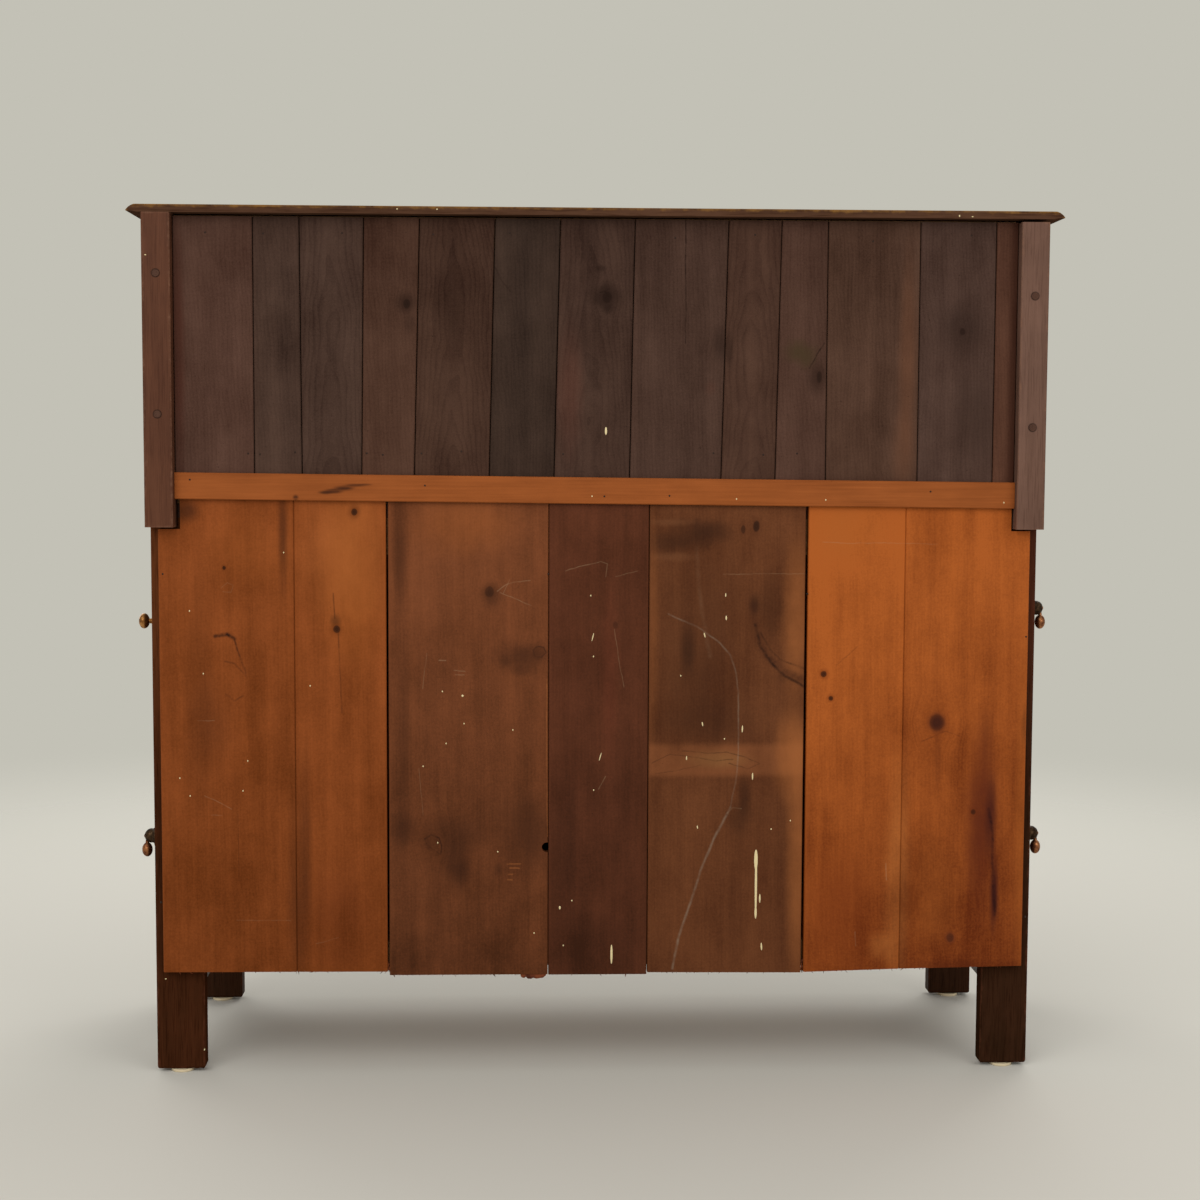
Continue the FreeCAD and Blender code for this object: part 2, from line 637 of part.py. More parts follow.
upper_width = door_outer - door_inner - 2 * DOOR_GAP
upper_height = upper_door_top - upper_door_bottom - 2 * DOOR_GAP
upper_lights = [(UPPER_DOOR_STILE, upper_width - UPPER_DOOR_STILE,
                 UPPER_DOOR_STILE, upper_height - UPPER_DOOR_STILE)]
upper_back = y_at(face_front - UPPER_DOOR_THICKNESS)
upper_corner = V(door_inner + DOOR_GAP, upper_back, upper_door_bottom + DOOR_GAP)
upper_frame = door_frame(upper_width, upper_height, UPPER_DOOR_THICKNESS, UPPER_DOOR_STILE, upper_lights)
upper_knob_x = upper_corner.x + UPPER_DOOR_STILE / 2
upper_knob = front_knob(upper_knob_x, face_front, upper_corner.z + upper_height / 2)
hang_doors("upper", upper_corner, upper_frame, door_panels(upper_lights), upper_knob)

lower_width = post_inner - MUNTIN_WIDTH / 2 - 2 * DOOR_GAP
lower_height = lower_door_top - floor_level - 2 * DOOR_GAP
lower_light = (lower_width - 2 * LOWER_DOOR_STILE - LOWER_DOOR_MUNTIN) / 2
lower_lights = []
for start in (LOWER_DOOR_STILE, LOWER_DOOR_STILE + lower_light + LOWER_DOOR_MUNTIN):
    lower_lights.append((start, start + lower_light, LOWER_DOOR_STILE, lower_height - LOWER_DOOR_STILE))
lower_back = y_at(post_front - LOWER_DOOR_THICKNESS)
lower_corner = V(MUNTIN_WIDTH / 2 + DOOR_GAP, lower_back, floor_level + DOOR_GAP)
lower_frame = door_frame(lower_width, lower_height, LOWER_DOOR_THICKNESS, LOWER_DOOR_STILE, lower_lights)
lower_knob_x = lower_corner.x + LOWER_DOOR_STILE / 2
lower_knob = front_knob(lower_knob_x, post_front, lower_corner.z + lower_height / 2)
hang_doors("lower", lower_corner, lower_frame, door_panels(lower_lights), lower_knob)

# Base top board, which closes the lower stage and carries the upper one

base_top_front = post_front + BASE_TOP_NOSING
base_top_back = post_back + BASE_TOP_BACK_GAP
base_top = block(-half_lower, half_lower, base_top_back, base_top_front, base_under, BASE_HEIGHT)
nosing_y = y_at(base_top_front)
nosing_edges = [one for one in base_top.Edges
                if one.BoundBox.YMax < nosing_y + SAME_POINT and one.BoundBox.XLength > half_lower]
save("base_top_board", base_top.makeFillet(BASE_TOP_ROUND, nosing_edges))

# Lower side frames: a stile against the rear post, three rails from it to the front post with
# a fielded panel in each light, and a bearer inside for the floor

floor_under = floor_level - BOTTOM_BOARD_THICKNESS
side_depth = front_post_back - side_stile_front
side_top_foot = base_under - SIDE_TOP_RAIL
side_light = (side_top_foot - floor_level - SIDE_MIDDLE_RAIL) / 2
side_lights = (floor_level, floor_level + side_light + SIDE_MIDDLE_RAIL)
side_middle = y_at((side_stile_front + front_post_back) / 2)
side_places = [V(side_rail_inner + PANEL_BACKSET, side_middle, z) for z in side_lights]
side_grooves = [placed(panel_groove(side_depth, side_light), place, 90) for place in side_places]
side_panels = [placed(fielded_panel(side_depth, side_light), place, 90) for place in side_places]


def grooved(shape):
    for groove in side_grooves:
        shape = shape.cut(groove)
    return shape


def side_rail(z0, z1):
    return grooved(block(side_rail_inner, side_rail_outer, side_stile_front, front_post_back, z0, z1))


side_stile = grooved(block(side_rail_inner, half_lower, rear_post_front, side_stile_front,
                           RAIL_CLEARANCE, base_under))
floor_bearer = block(side_rail_inner - FLOOR_BEARER, side_rail_inner, rear_post_front, front_post_back,
                     RAIL_CLEARANCE, floor_under)
side_frame = [side_stile,
              side_rail(RAIL_CLEARANCE, floor_level),
              side_rail(side_lights[0] + side_light, side_lights[1]),
              side_rail(side_top_foot, base_under),
              floor_bearer]
save("right_side_frame", *side_frame)
save("left_side_frame", *[mirrored(member) for member in side_frame])
save("side_panels", *side_panels, *[mirrored(panel) for panel in side_panels])

# Four posts, running down as feet with rounded soles, their long edges eased, and the glides
# that they stand on

def post(depth0, depth1):
    shape = block(post_inner, half_lower, depth0, depth1, GLIDE_HEIGHT, base_under)
    sole = [one for one in shape.Edges if one.BoundBox.ZMax < GLIDE_HEIGHT + SAME_POINT]
    shape = shape.makeFillet(FOOT_ROUND, sole)
    eased = eased_upright(post_inner, half_lower, depth0, depth1, GLIDE_HEIGHT, base_under, True)
    return grooved(shape.common(eased))


def glide(depth0, depth1):
    centre = V((post_inner + half_lower) / 2, y_at((depth0 + depth1) / 2), 0)
    disc = Part.makeCylinder(GLIDE_RADIUS, GLIDE_HEIGHT, centre)
    rim = [one for one in disc.Edges if one.BoundBox.ZMax < SAME_POINT]
    return disc.makeFillet(GLIDE_ROUND, rim)


post_depths = {"rear": (post_back, rear_post_front), "front": (front_post_back, post_front)}
for place, depths in post_depths.items():
    save("right_" + place + "_post", post(*depths))
    save("left_" + place + "_post", mirrored(post(*depths)))
right_glides = [glide(*depths) for depths in post_depths.values()]
save("foot_glides", *right_glides, *[mirrored(one) for one in right_glides])

# Lower front frame: rails above and below the doors, and the muntin between them

muntin_half = MUNTIN_WIDTH / 2
front_top = block(-post_inner, post_inner, front_rail_back, post_front, lower_door_top, base_under)
front_foot = block(-post_inner, post_inner, front_rail_back, post_front, RAIL_CLEARANCE, floor_level)
muntin = block(-muntin_half, muntin_half, front_rail_back, post_front, floor_level, lower_door_top)
front_rails = [drilled_for_pins(rail, lower_pin_place) for rail in (front_top, front_foot)]
save("front_frame", *front_rails, muntin)

# Rails that the back boards are nailed to, and the floor of the lower cupboard

def upper_rail(z0):
    upper_rail_front = post_back + UPPER_BACK_RAIL_THICKNESS
    return block(-stile_inner, stile_inner, post_back, upper_rail_front, z0, z0 + UPPER_BACK_RAIL)


upper_head_rail = upper_rail(top_under - UPPER_BACK_RAIL)
upper_foot_rail = upper_rail(BASE_HEIGHT)
back_top_foot = base_under - BACK_TOP_RAIL
back_top = block(-post_inner, post_inner, post_back, back_rail_front, back_top_foot, base_under)
back_foot_foot = floor_level - BACK_BOTTOM_RAIL
back_foot = block(-post_inner, post_inner, post_back, back_rail_front, back_foot_foot, floor_level)
save("back_rails", upper_head_rail, upper_foot_rail, back_top, back_foot)

floor_between_posts = block(-post_inner, post_inner, back_rail_front, front_rail_back,
                            floor_under, floor_level)
floor_back = max(rear_post_front, back_rail_front)
floor_between_sides = block(-side_rail_inner, side_rail_inner, floor_back, front_post_back,
                            floor_under, floor_level)
save("bottom_board", floor_between_posts.fuse(floor_between_sides).removeSplitter())

# Lower back boards, nailed over the posts, notched at the outer top corners for the stile tails

notch_foot = BASE_HEIGHT - STILE_TAIL - NOTCH_END_GAP
lower_board_head = BASE_HEIGHT + LOWER_BOARD_LAP
right_notch_inner = stile_inner - RIGHT_NOTCH_SIDE_GAP
left_notch_inner = stile_inner - LEFT_NOTCH_SIDE_GAP
right_notch = block(right_notch_inner, half_upper, 0, post_back, notch_foot, lower_board_head)
left_notch = block(-half_upper, -left_notch_inner, 0, post_back, notch_foot, lower_board_head)
board_half = half_lower - LOWER_BOARD_INSET
lower_fill = 2 * board_half / sum(sum(planks) for planks in LOWER_BOARD_PLANKS)
board_gaps = (0.0,) + LOWER_BOARD_GAPS + (0.0,)


def plank(left, right, left_foot, right_foot):
    lowest = min(left_foot, right_foot)
    wood = eased_upright(left, right, LOWER_BOARD_BACK, post_back, lowest, lower_board_head)
    under = lowest - CUTTER_SLACK
    below = [(left, left_foot), (right, right_foot), (right, under), (left, under)]
    waste = outline([V(x, y_at(post_back), z) for x, z in below]).extrude(Y_AXIS * LOWER_BOARD_THICKNESS)
    return wood.cut(waste).cut(right_notch).cut(left_notch)


edge = board_half
for number, widths in enumerate(LOWER_BOARD_PLANKS, 1):
    joints = [PLANK_GAP] * (len(widths) - 1)
    gaps = [board_gaps[number - 1]] + joints + [board_gaps[number]]
    feet = LOWER_BOARD_FEET[number - 1]
    planks = []
    for width, right_gap, left_gap, right_foot, left_foot in zip(widths, gaps, gaps[1:], feet, feet[1:]):
        right = edge - right_gap / 2
        edge = edge - width * lower_fill
        planks.append(plank(edge + left_gap / 2, right, left_foot, right_foot))
    if number == KNOT_BOARD:
        knot_place = V(edge + KNOT_HOLE_INSET, y_at(post_back), KNOT_HOLE_HEIGHT)
        knot = Part.makeCylinder(KNOT_HOLE_RADIUS, LOWER_BOARD_THICKNESS, knot_place, Y_AXIS)
        planks = [one.cut(knot) for one in planks]
    save("lower_back_board_%d" % number, *planks)

# Side pulls on the side frames: rosettes with a slotted crown, and a drop hung in each slot

pull_y = y_at((rear_post_front + side_stile_front) / 2)
slot_half = EYE_WIDTH / 2 + EYE_SIDE_CLEARANCE
slot_floor = PIVOT_REACH - EYE_RADIUS - EYE_BACK_CLEARANCE


def rosette():
    # Built along +X from its seat, pivot along Y
    hollow_end = ROSETTE_RIM + ROSETTE_HOLLOW
    halfway = math.cos(math.pi / 4)
    hollow_middle = V(hollow_end - halfway * ROSETTE_HOLLOW, 0,
                      ROSETTE_RADIUS - halfway * (ROSETTE_RADIUS - BUTTON_RADIUS))
    crown_middle = V(hollow_end + halfway * (ROSETTE_REACH - hollow_end), 0,
                     CROWN_RADIUS + halfway * (BUTTON_RADIUS - CROWN_RADIUS))
    rim = V(ROSETTE_RIM, 0, ROSETTE_RADIUS)
    button = V(hollow_end, 0, BUTTON_RADIUS)
    crown = V(ROSETTE_REACH, 0, CROWN_RADIUS)
    corners = [crown, V(ROSETTE_REACH, 0, 0), ORIGIN, V(0, 0, ROSETTE_RADIUS), rim]
    curves = [Part.LineSegment(a, b) for a, b in zip(corners, corners[1:])]
    curves += [Part.Arc(rim, hollow_middle, button), Part.Arc(button, crown_middle, crown)]
    slot = Part.makeBox(ROSETTE_REACH, 2 * slot_half, 2 * ROSETTE_RADIUS,
                        V(slot_floor, -slot_half, -ROSETTE_RADIUS))
    pivot_half = slot_half + PIVOT_SEAT
    pivot = Part.makeCylinder(PIVOT_RADIUS, 2 * pivot_half, V(PIVOT_REACH, -pivot_half, 0), Y_AXIS)
    return turned(curves, X_AXIS).cut(slot).fuse(pivot).removeSplitter()


def drop():
    # Built hanging from its pivot at the origin
    centre = V(0, 0, -DROP_LENGTH)
    tip = centre - V(0, 0, DROP_HALF_HEIGHT)
    ball = Part.Ellipse(tip, centre + V(DROP_RADIUS, 0, 0), centre)
    throat_share = DROP_THROAT_RADIUS / DROP_RADIUS
    throat_rise = DROP_HALF_HEIGHT * (1 - throat_share ** 2) ** 0.5
    throat = V(DROP_THROAT_RADIUS, 0, throat_rise - DROP_LENGTH)
    arc = Part.ArcOfEllipse(ball, 0, math.pi - math.asin(throat_share))
    neck = V(DROP_NECK_RADIUS, 0, -EYE_RADIUS)
    head = V(DROP_NECK_RADIUS, 0, -EYE_RADIUS / 2)
    top = V(0, 0, -EYE_RADIUS / 2)
    curves = [Part.LineSegment(top, head), Part.LineSegment(head, neck), Part.LineSegment(neck, throat),
              arc, Part.LineSegment(tip, top)]
    eye_end = V(0, -EYE_WIDTH / 2, 0)
    eye = Part.makeCylinder(EYE_RADIUS, EYE_WIDTH, eye_end, Y_AXIS)
    hole = Part.makeCylinder(PIVOT_RADIUS + PIN_RUNNING_CLEARANCE, EYE_WIDTH, eye_end, Y_AXIS)
    return eye.fuse(turned(curves, Z_AXIS)).cut(hole)


def on_right_side(shape, reach, height):
    return placed(shape, V(half_lower + reach, pull_y, height))


right_lower_rosette = on_right_side(rosette(), 0, LOWER_PULL_HEIGHT)
left_upper_rosette = mirrored(on_right_side(rosette(), 0, UPPER_PULL_HEIGHT))
save("side_rosettes", right_lower_rosette, mirrored(right_lower_rosette), left_upper_rosette)
right_lower_drop = on_right_side(drop(), PIVOT_REACH, LOWER_PULL_HEIGHT)
save("right_lower_drop", right_lower_drop)
save("left_lower_drop", mirrored(right_lower_drop))
save("left_upper_drop", mirrored(on_right_side(drop(), PIVOT_REACH, UPPER_PULL_HEIGHT)))

side_knob = knob()
side_knob.rotate(ORIGIN, Y_AXIS, 90)
save("right_side_knob", on_right_side(side_knob, 0, SIDE_KNOB_HEIGHT))
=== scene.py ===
import math
import random

import bmesh
import bpy
from mathutils import Matrix, Vector


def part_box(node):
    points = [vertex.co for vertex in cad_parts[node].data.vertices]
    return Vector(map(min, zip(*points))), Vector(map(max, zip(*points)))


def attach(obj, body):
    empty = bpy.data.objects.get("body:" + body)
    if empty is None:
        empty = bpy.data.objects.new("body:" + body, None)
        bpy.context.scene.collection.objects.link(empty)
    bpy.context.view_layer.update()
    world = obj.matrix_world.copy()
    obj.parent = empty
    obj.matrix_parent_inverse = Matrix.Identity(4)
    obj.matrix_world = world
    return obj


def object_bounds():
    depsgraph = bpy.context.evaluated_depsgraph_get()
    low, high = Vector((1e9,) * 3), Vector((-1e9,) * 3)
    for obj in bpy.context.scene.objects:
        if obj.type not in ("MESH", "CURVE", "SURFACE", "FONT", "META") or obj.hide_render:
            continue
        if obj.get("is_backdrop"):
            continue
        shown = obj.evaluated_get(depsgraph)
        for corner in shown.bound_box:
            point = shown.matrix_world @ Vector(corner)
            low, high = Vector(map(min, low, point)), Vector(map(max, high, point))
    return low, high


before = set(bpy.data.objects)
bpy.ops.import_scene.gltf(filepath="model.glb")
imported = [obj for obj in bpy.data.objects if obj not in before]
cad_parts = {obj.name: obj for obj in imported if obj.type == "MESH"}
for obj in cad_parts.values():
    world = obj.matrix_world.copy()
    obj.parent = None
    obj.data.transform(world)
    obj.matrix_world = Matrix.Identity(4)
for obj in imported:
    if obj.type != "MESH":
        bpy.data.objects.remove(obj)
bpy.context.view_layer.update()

# Four posts of joined oak, squared by hand and worn at the foot. The oak is stained nearly
# black, waxed for generations and rubbed brown along its edges. The rails, frames, columns
# and mouldings of the cupboard are the same oak, so its finish is made here.


def linear(tone):
    # An sRGB hex colour as linear red, green, blue and alpha
    channels = [int(tone[i:i + 2], 16) / 255 for i in (1, 3, 5)]
    return [c / 12.92 if c <= 0.04045 else ((c + 0.055) / 1.055) ** 2.4 for c in channels] + [1.0]


def add(tree, kind, settings, inputs):
    # settings are set on the node, and a word alone is its operation. An input is a value, a socket,
    # or a node whose first output is meant.
    node = tree.nodes.new("ShaderNode" + kind)
    if isinstance(settings, str):
        settings = {"operation": settings}
    for key, value in settings.items():
        setattr(node, key, value)
    for key, value in inputs.items():
        if isinstance(value, bpy.types.Node):
            value = value.outputs[0]
        if isinstance(value, bpy.types.NodeSocket):
            tree.links.new(value, node.inputs[key])
        else:
            node.inputs[key].default_value = value
    return node


MM_PER_M = 1000.0


def start_material(name):
    # An empty material, its nodes, and the places on its piece in mm
    material = bpy.data.materials.new(name)
    material.use_nodes = True
    tree = material.node_tree
    tree.nodes.clear()
    place = add(tree, "TexCoord", {}, {})
    return material, tree, add(tree, "VectorMath", "SCALE", {0: place.outputs["Object"], "Scale": MM_PER_M})


def wear(nodes, material):
    # Puts a finish on CAD nodes, whose shapes stay as they are
    for name in nodes:
        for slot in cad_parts[name].material_slots:
            slot.material = material


SMOOTH, COLOURS = {"interpolation_type": "SMOOTHSTEP"}, {"data_type": "RGBA"}
GRAIN_ORDER = {"Z": "XYZ", "X": "ZYX", "Y": "XZY"}
# Counted per mm: pores 1.4 mm wide and 45 long, figure 14 mm wide and 250 long, clouds of grime 90 mm
# across, and rubbed spots 22 mm across
PORES_PER_MM, FIGURE_PER_MM = (0.7, 0.7, 0.022), (0.07, 0.07, 0.004)
GRIME_PER_MM, RUBS_PER_MM = 0.011, 0.045
RUB_SPREAD, RUB_BLUR = 16.0, 6.0
FADE_FOOT, FADE_HEAD = 360.0, 680.0
# PEG_JOINT_AND_SHADE is the dark joint round a peg, with painted shadow at its rim
PEG_JOINT_AND_SHADE, PORE_TONE = "#1E110B", "#8A6E60"
GRAIN_RELIEF = 0.0006


def stained_oak(name, dark, light, worn, grain="Z", level=None, level_part=None, arris=None, gloss=0.42,
                shine=0.2, rub=11.0, bores=(), faded=None, pore=0.5):
    # Ring-porous oak: long dark pores a millimetre or two wide, broad bands of figure, grime in
    # the hollows and a dull wax shine. grain is the way the wood runs. In a frame, level is the
    # way its rails run, and level_part says where they are: (axis, from, to, foot, head) in mm.
    # arris is the box of a squared piece, whose edges are rubbed to the colour called worn, the
    # further in the larger rub is. bores are (x, z, radius) of peg holes, with a dark ring round
    # each peg: the dark joint, and painted shadow at its rim. faded is the colour that a post fades to
    # above the reach of mops and boots, and pore is how dark the pores are.
    material, tree, mm = start_material(name)
    axes = add(tree, "SeparateXYZ", {}, {0: mm})
    runs = {way: add(tree, "CombineXYZ", {}, {i: axes.outputs[a] for i, a in enumerate(GRAIN_ORDER[way])})
            for way in (grain, level) if way}
    space = runs[grain]
    if level:
        axis, start, end, foot, head = level_part
        within = add(tree, "Math", "COMPARE", {0: axes.outputs[axis], 1: (start + end) / 2, 2: (end - start) / 2})
        between = add(tree, "Math", "COMPARE", {0: axes.outputs["Z"], 1: (foot + head) / 2, 2: (head - foot) / 2})
        outside = add(tree, "Math", "SUBTRACT", {0: 1.0, 1: between})
        rail = add(tree, "Math", "MULTIPLY", {0: within, 1: outside})
        space = add(tree, "Mix", {"data_type": "VECTOR"}, {0: rail, 4: space, 5: runs[level]}).outputs[1]
    pore_space = add(tree, "VectorMath", "MULTIPLY", {0: space, 1: PORES_PER_MM})
    pores = add(tree, "TexNoise", {}, {"Vector": pore_space, "Scale": 1.0, "Detail": 3.0, "Roughness": 0.6})
    figure_space = add(tree, "VectorMath", "MULTIPLY", {0: space, 1: FIGURE_PER_MM})
    figure = add(tree, "TexNoise", {}, {"Vector": figure_space, "Scale": 1.0, "Detail": 4.0, "Distortion": 0.6})
    grime = add(tree, "TexNoise", {}, {"Vector": mm, "Scale": GRIME_PER_MM, "Detail": 5.0, "Roughness": 0.62})
    tone = add(tree, "Math", "MULTIPLY_ADD", {0: figure, 1: 0.9, 2: -0.25})
    tone = add(tree, "Math", "MULTIPLY_ADD", {0: grime, 1: 0.8, 2: tone})
    tone = add(tree, "Math", {"operation": "SUBTRACT", "use_clamp": True}, {0: tone, 1: 0.1})
    base = add(tree, "Mix", COLOURS, {0: tone, 6: linear(dark), 7: linear(light)}).outputs[2]
    if arris:
        low, high = arris
        middle = (low + high) * MM_PER_M / 2
        half = (high - low) * MM_PER_M / 2
        off = add(tree, "VectorMath", "SUBTRACT", {0: mm, 1: middle})
        off = add(tree, "VectorMath", "ABSOLUTE", {0: off})
        depth = add(tree, "VectorMath", "SUBTRACT", {0: half, 1: off})
        face = add(tree, "SeparateXYZ", {}, {0: depth})
        # The second smallest of the three depths is the way in from the nearest edge
        least = add(tree, "Math", "MINIMUM", {0: face.outputs[0], 1: face.outputs[1]})
        most = add(tree, "Math", "MAXIMUM", {0: face.outputs[0], 1: face.outputs[1]})
        third = add(tree, "Math", "MINIMUM", {0: most, 1: face.outputs[2]})
        edge = add(tree, "Math", "MAXIMUM", {0: least, 1: third})
        uneven = add(tree, "TexNoise", {}, {"Vector": mm, "Scale": RUBS_PER_MM, "Detail": 4.0, "Roughness": 0.7})
        edge = add(tree, "Math", "MULTIPLY_ADD", {0: uneven, 1: RUB_SPREAD, 2: edge})
        rubbed = add(tree, "MapRange", SMOOTH,
                     {"Value": edge, "From Min": rub, "From Max": rub - RUB_BLUR, "To Max": 0.75})
        base = add(tree, "Mix", COLOURS, {0: rubbed, 6: base, 7: linear(worn)}).outputs[2]
    if faded:
        risen = add(tree, "MapRange", SMOOTH,
                    {"Value": axes.outputs["Z"], "From Min": FADE_FOOT, "From Max": FADE_HEAD, "To Max": 0.8})
        base = add(tree, "Mix", COLOURS, {0: risen, 6: base, 7: linear(faded)}).outputs[2]
    # A dark ring round each peg: its joint, and painted shadow at the rim
    for x, z, radius in bores:
        away = add(tree, "VectorMath", "MULTIPLY_ADD", {0: mm, 1: (1.0, 0.0, 1.0), 2: (-x, 0.0, -z)})
        away = add(tree, "VectorMath", "LENGTH", {0: away}).outputs["Value"]
        away = add(tree, "Math", "SUBTRACT", {0: away, 1: radius})
        away = add(tree, "Math", "ABSOLUTE", {0: away})
        joint_and_shade = add(tree, "MapRange", SMOOTH, {"Value": away, "From Min": 2.0, "From Max": 0.3, "To Max": 0.7})
        base = add(tree, "Mix", COLOURS, {0: joint_and_shade, 6: base, 7: linear(PEG_JOINT_AND_SHADE)}).outputs[2]
    deep = add(tree, "MapRange", SMOOTH, {"Value": pores, "From Min": 0.5, "From Max": 0.36, "To Max": pore})
    base = add(tree, "Mix", {"data_type": "RGBA", "blend_type": "MULTIPLY"},
               {0: deep, 6: base, 7: linear(PORE_TONE)}).outputs[2]
    rough = add(tree, "MapRange", {}, {"Value": grime, "From Min": 0.3, "From Max": 0.7,
                                       "To Min": gloss - 0.08, "To Max": gloss + 0.16})
    bump = add(tree, "Bump", {}, {"Height": pores, "Strength": 0.25, "Distance": GRAIN_RELIEF})
    shader = add(tree, "BsdfPrincipled", {}, {"Base Color": base, "Roughness": rough, "Normal": bump,
                                              "IOR": 1.5, "Specular IOR Level": shine})
    add(tree, "OutputMaterial", {}, {"Surface": shader})
    return material


OAK_DARK, OAK_LIGHT, OAK_WORN = "#28140B", "#472516", "#6B452C"
post_tones = (("left_rear_post", "#23160C", "#402618", "#5E3524", "#4E2A1C", 0.0),
              ("right_rear_post", "#2A170B", "#4C2917", "#5E3524", "#66391F", 0.0),
              ("left_front_post", "#23160C", "#402618", "#4E2A17", None, 0.02),
              ("right_front_post", "#23160C", "#402618", "#4E2A17", None, 0.02))
for post, dark, light, worn, faded, shine in post_tones:
    wear([post], stained_oak("waxed_oak_" + post, dark, light, worn, arris=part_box(post), shine=shine, faded=faded))

# Side frames: an oak stile against each rear post, three rails tenoned between it and the front
# post, and a bearer for the floor. Two fielded panels are held in the grooves of each, riven
# from redder oak and less rubbed.

PANEL_DARK, PANEL_LIGHT = "#36190F", "#5E321E"
SIDE_STILE, EVERYWHERE = 34.0, 2000.0
stile_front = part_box("right_side_frame")[1].y * MM_PER_M - SIDE_STILE
side_rails = ("Y", -EVERYWHERE, stile_front, EVERYWHERE, EVERYWHERE + 1.0)
panel_oak = stained_oak("waxed_oak_panels", PANEL_DARK, PANEL_LIGHT, OAK_WORN)
wear(["left_side_frame", "right_side_frame"],
     stained_oak("waxed_oak_side_frames", OAK_DARK, OAK_LIGHT, OAK_WORN, "Z", "Y", side_rails))
wear(["side_panels"], panel_oak)

# Glides: moulded discs of pale nylon nailed under the feet, so that the cupboard slides on a
# floor. They are smooth and one even cream, a little dulled.

glide_nylon, tree, _ = start_material("pale_nylon")
shader = add(tree, "BsdfPrincipled", {}, {"Base Color": linear("#D9C8A6"), "Roughness": 0.5})
add(tree, "OutputMaterial", {}, {"Surface": shader})
wear(["foot_glides"], glide_nylon)

# Lower front: two oak rails and a muntin, flush with the posts, round two panelled doors.
# Each door is two stiles, two rails and a muntin, with upright grain in its two panels.

door_low, door_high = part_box("lower_right_door_frame")
front_part = ("X", -EVERYWHERE, EVERYWHERE, door_low.z * MM_PER_M, door_high.z * MM_PER_M)
wear(["front_frame"], stained_oak("waxed_oak_front", OAK_DARK, OAK_LIGHT, OAK_WORN, "Z", "X", front_part))


def door_oak(node, member):
    # member is the width of the stiles and rails, in mm
    low, high = [corner * MM_PER_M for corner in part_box(node)]
    part = ("X", low.x + member, high.x - member, low.z + member, high.z - member)
    return stained_oak("waxed_oak_" + node, OAK_DARK, OAK_LIGHT, OAK_WORN, "Z", "X", part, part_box(node))


LOWER_DOOR_MEMBER = 62.0
for side in ("left", "right"):
    wear(["lower_" + side + "_door_frame"], door_oak("lower_" + side + "_door_frame", LOWER_DOOR_MEMBER))
    wear(["lower_" + side + "_door_panel"], panel_oak)

# Cupboard floor and the rails that the back is nailed to: sawn pine, never finished, seen only
# with the doors open. It has gone the pale brown of dust and handling.


def bare_pine(name, dark, light, grain):
    # Flat-sawn softwood: soft rings about 7 mm apart, fuzzy fibres under 2 mm wide, a dry matt face
    material, tree, mm = start_material(name)
    axes = add(tree, "SeparateXYZ", {}, {0: mm})
    space = add(tree, "CombineXYZ", {}, {i: axes.outputs[a] for i, a in enumerate(GRAIN_ORDER[grain])})
    ring_space = add(tree, "VectorMath", "MULTIPLY", {0: space, 1: (0.14, 0.14, 0.004)})
    rings = add(tree, "TexNoise", {}, {"Vector": ring_space, "Scale": 1.0, "Detail": 2.0, "Distortion": 1.2})
    fibre_space = add(tree, "VectorMath", "MULTIPLY", {0: space, 1: (0.6, 0.6, 0.012)})
    fibres = add(tree, "TexNoise", {}, {"Vector": fibre_space, "Scale": 1.0, "Detail": 3.0})
    tone = add(tree, "Math", "ADD", {0: rings, 1: fibres})
    tone = add(tree, "Math", {"operation": "SUBTRACT", "use_clamp": True}, {0: tone, 1: 0.5})
    base = add(tree, "Mix", COLOURS, {0: tone, 6: linear(dark), 7: linear(light)})
    bump = add(tree, "Bump", {}, {"Height": fibres, "Strength": 0.3, "Distance": GRAIN_RELIEF})
    shader = add(tree, "BsdfPrincipled", {}, {"Base Color": base.outputs[2], "Roughness": 0.8, "Normal": bump,
                                              "IOR": 1.5, "Specular IOR Level": 0.2})
    add(tree, "OutputMaterial", {}, {"Surface": shader})
    return material


wear(["bottom_board", "back_rails"], bare_pine("bare_pine_inside", "#6E4A2E", "#A57B50", "X"))

# Lower back: five wide pine boards nailed up the back, the outer two made of two planks each.
# They were stained unevenly and have darkened by different amounts, so that each board has its
# own colour, knots and marks. Places are in mm, seen from behind: x falls from left to right.

# GRIME_AND_SHADE is the near black of dirt, knot cores and pits, and also of painted shade in a corner
GRIME_AND_SHADE, CHALK, RUBBED, SUNNED = "#1E0F08", "#AC8E6C", "#9C5C30", "#A45A24"
# Counted per mm: bends in a mark's outline 25 mm apart, pits 3 mm wide, and breaks in a stroke 17 mm apart
BENDS_PER_MM, PITS_PER_MM, BREAKS_PER_MM = (0.04, 0.04, 0.018), (0.3, 0.3, 0.16), 0.06
# How far, in mm, the outlines of small and of broad marks wander
SMALL_WANDER, BROAD_WANDER, BROAD_MARK = (5.0, 0.0, 5.0), (15.0, 0.0, 34.0), 16
RING_WIDTH, RING_HEAVE, RING_LEAN = 5.0, 34.0, 0.05
FAR_PITH, PITH_DEPTH, PLANK_SHIFT = 60.0, 20.0, 47.0
GHOST_BLUR, EDGE_SPREAD, EDGE_START, EDGE_FULL = 6, 12.0, 9.0, 4.5


def oval_reach(tree, space, x, z, wide, tall):
    # How far a place is from the middle of an oval, as a share of its half width and half height
    off = add(tree, "VectorMath", "MULTIPLY_ADD",
              {0: space, 1: (1 / wide, 0.0, 1 / tall), 2: (-x / wide, 0.0, -z / tall)})
    return off, add(tree, "VectorMath", "LENGTH", {0: off}).outputs["Value"]


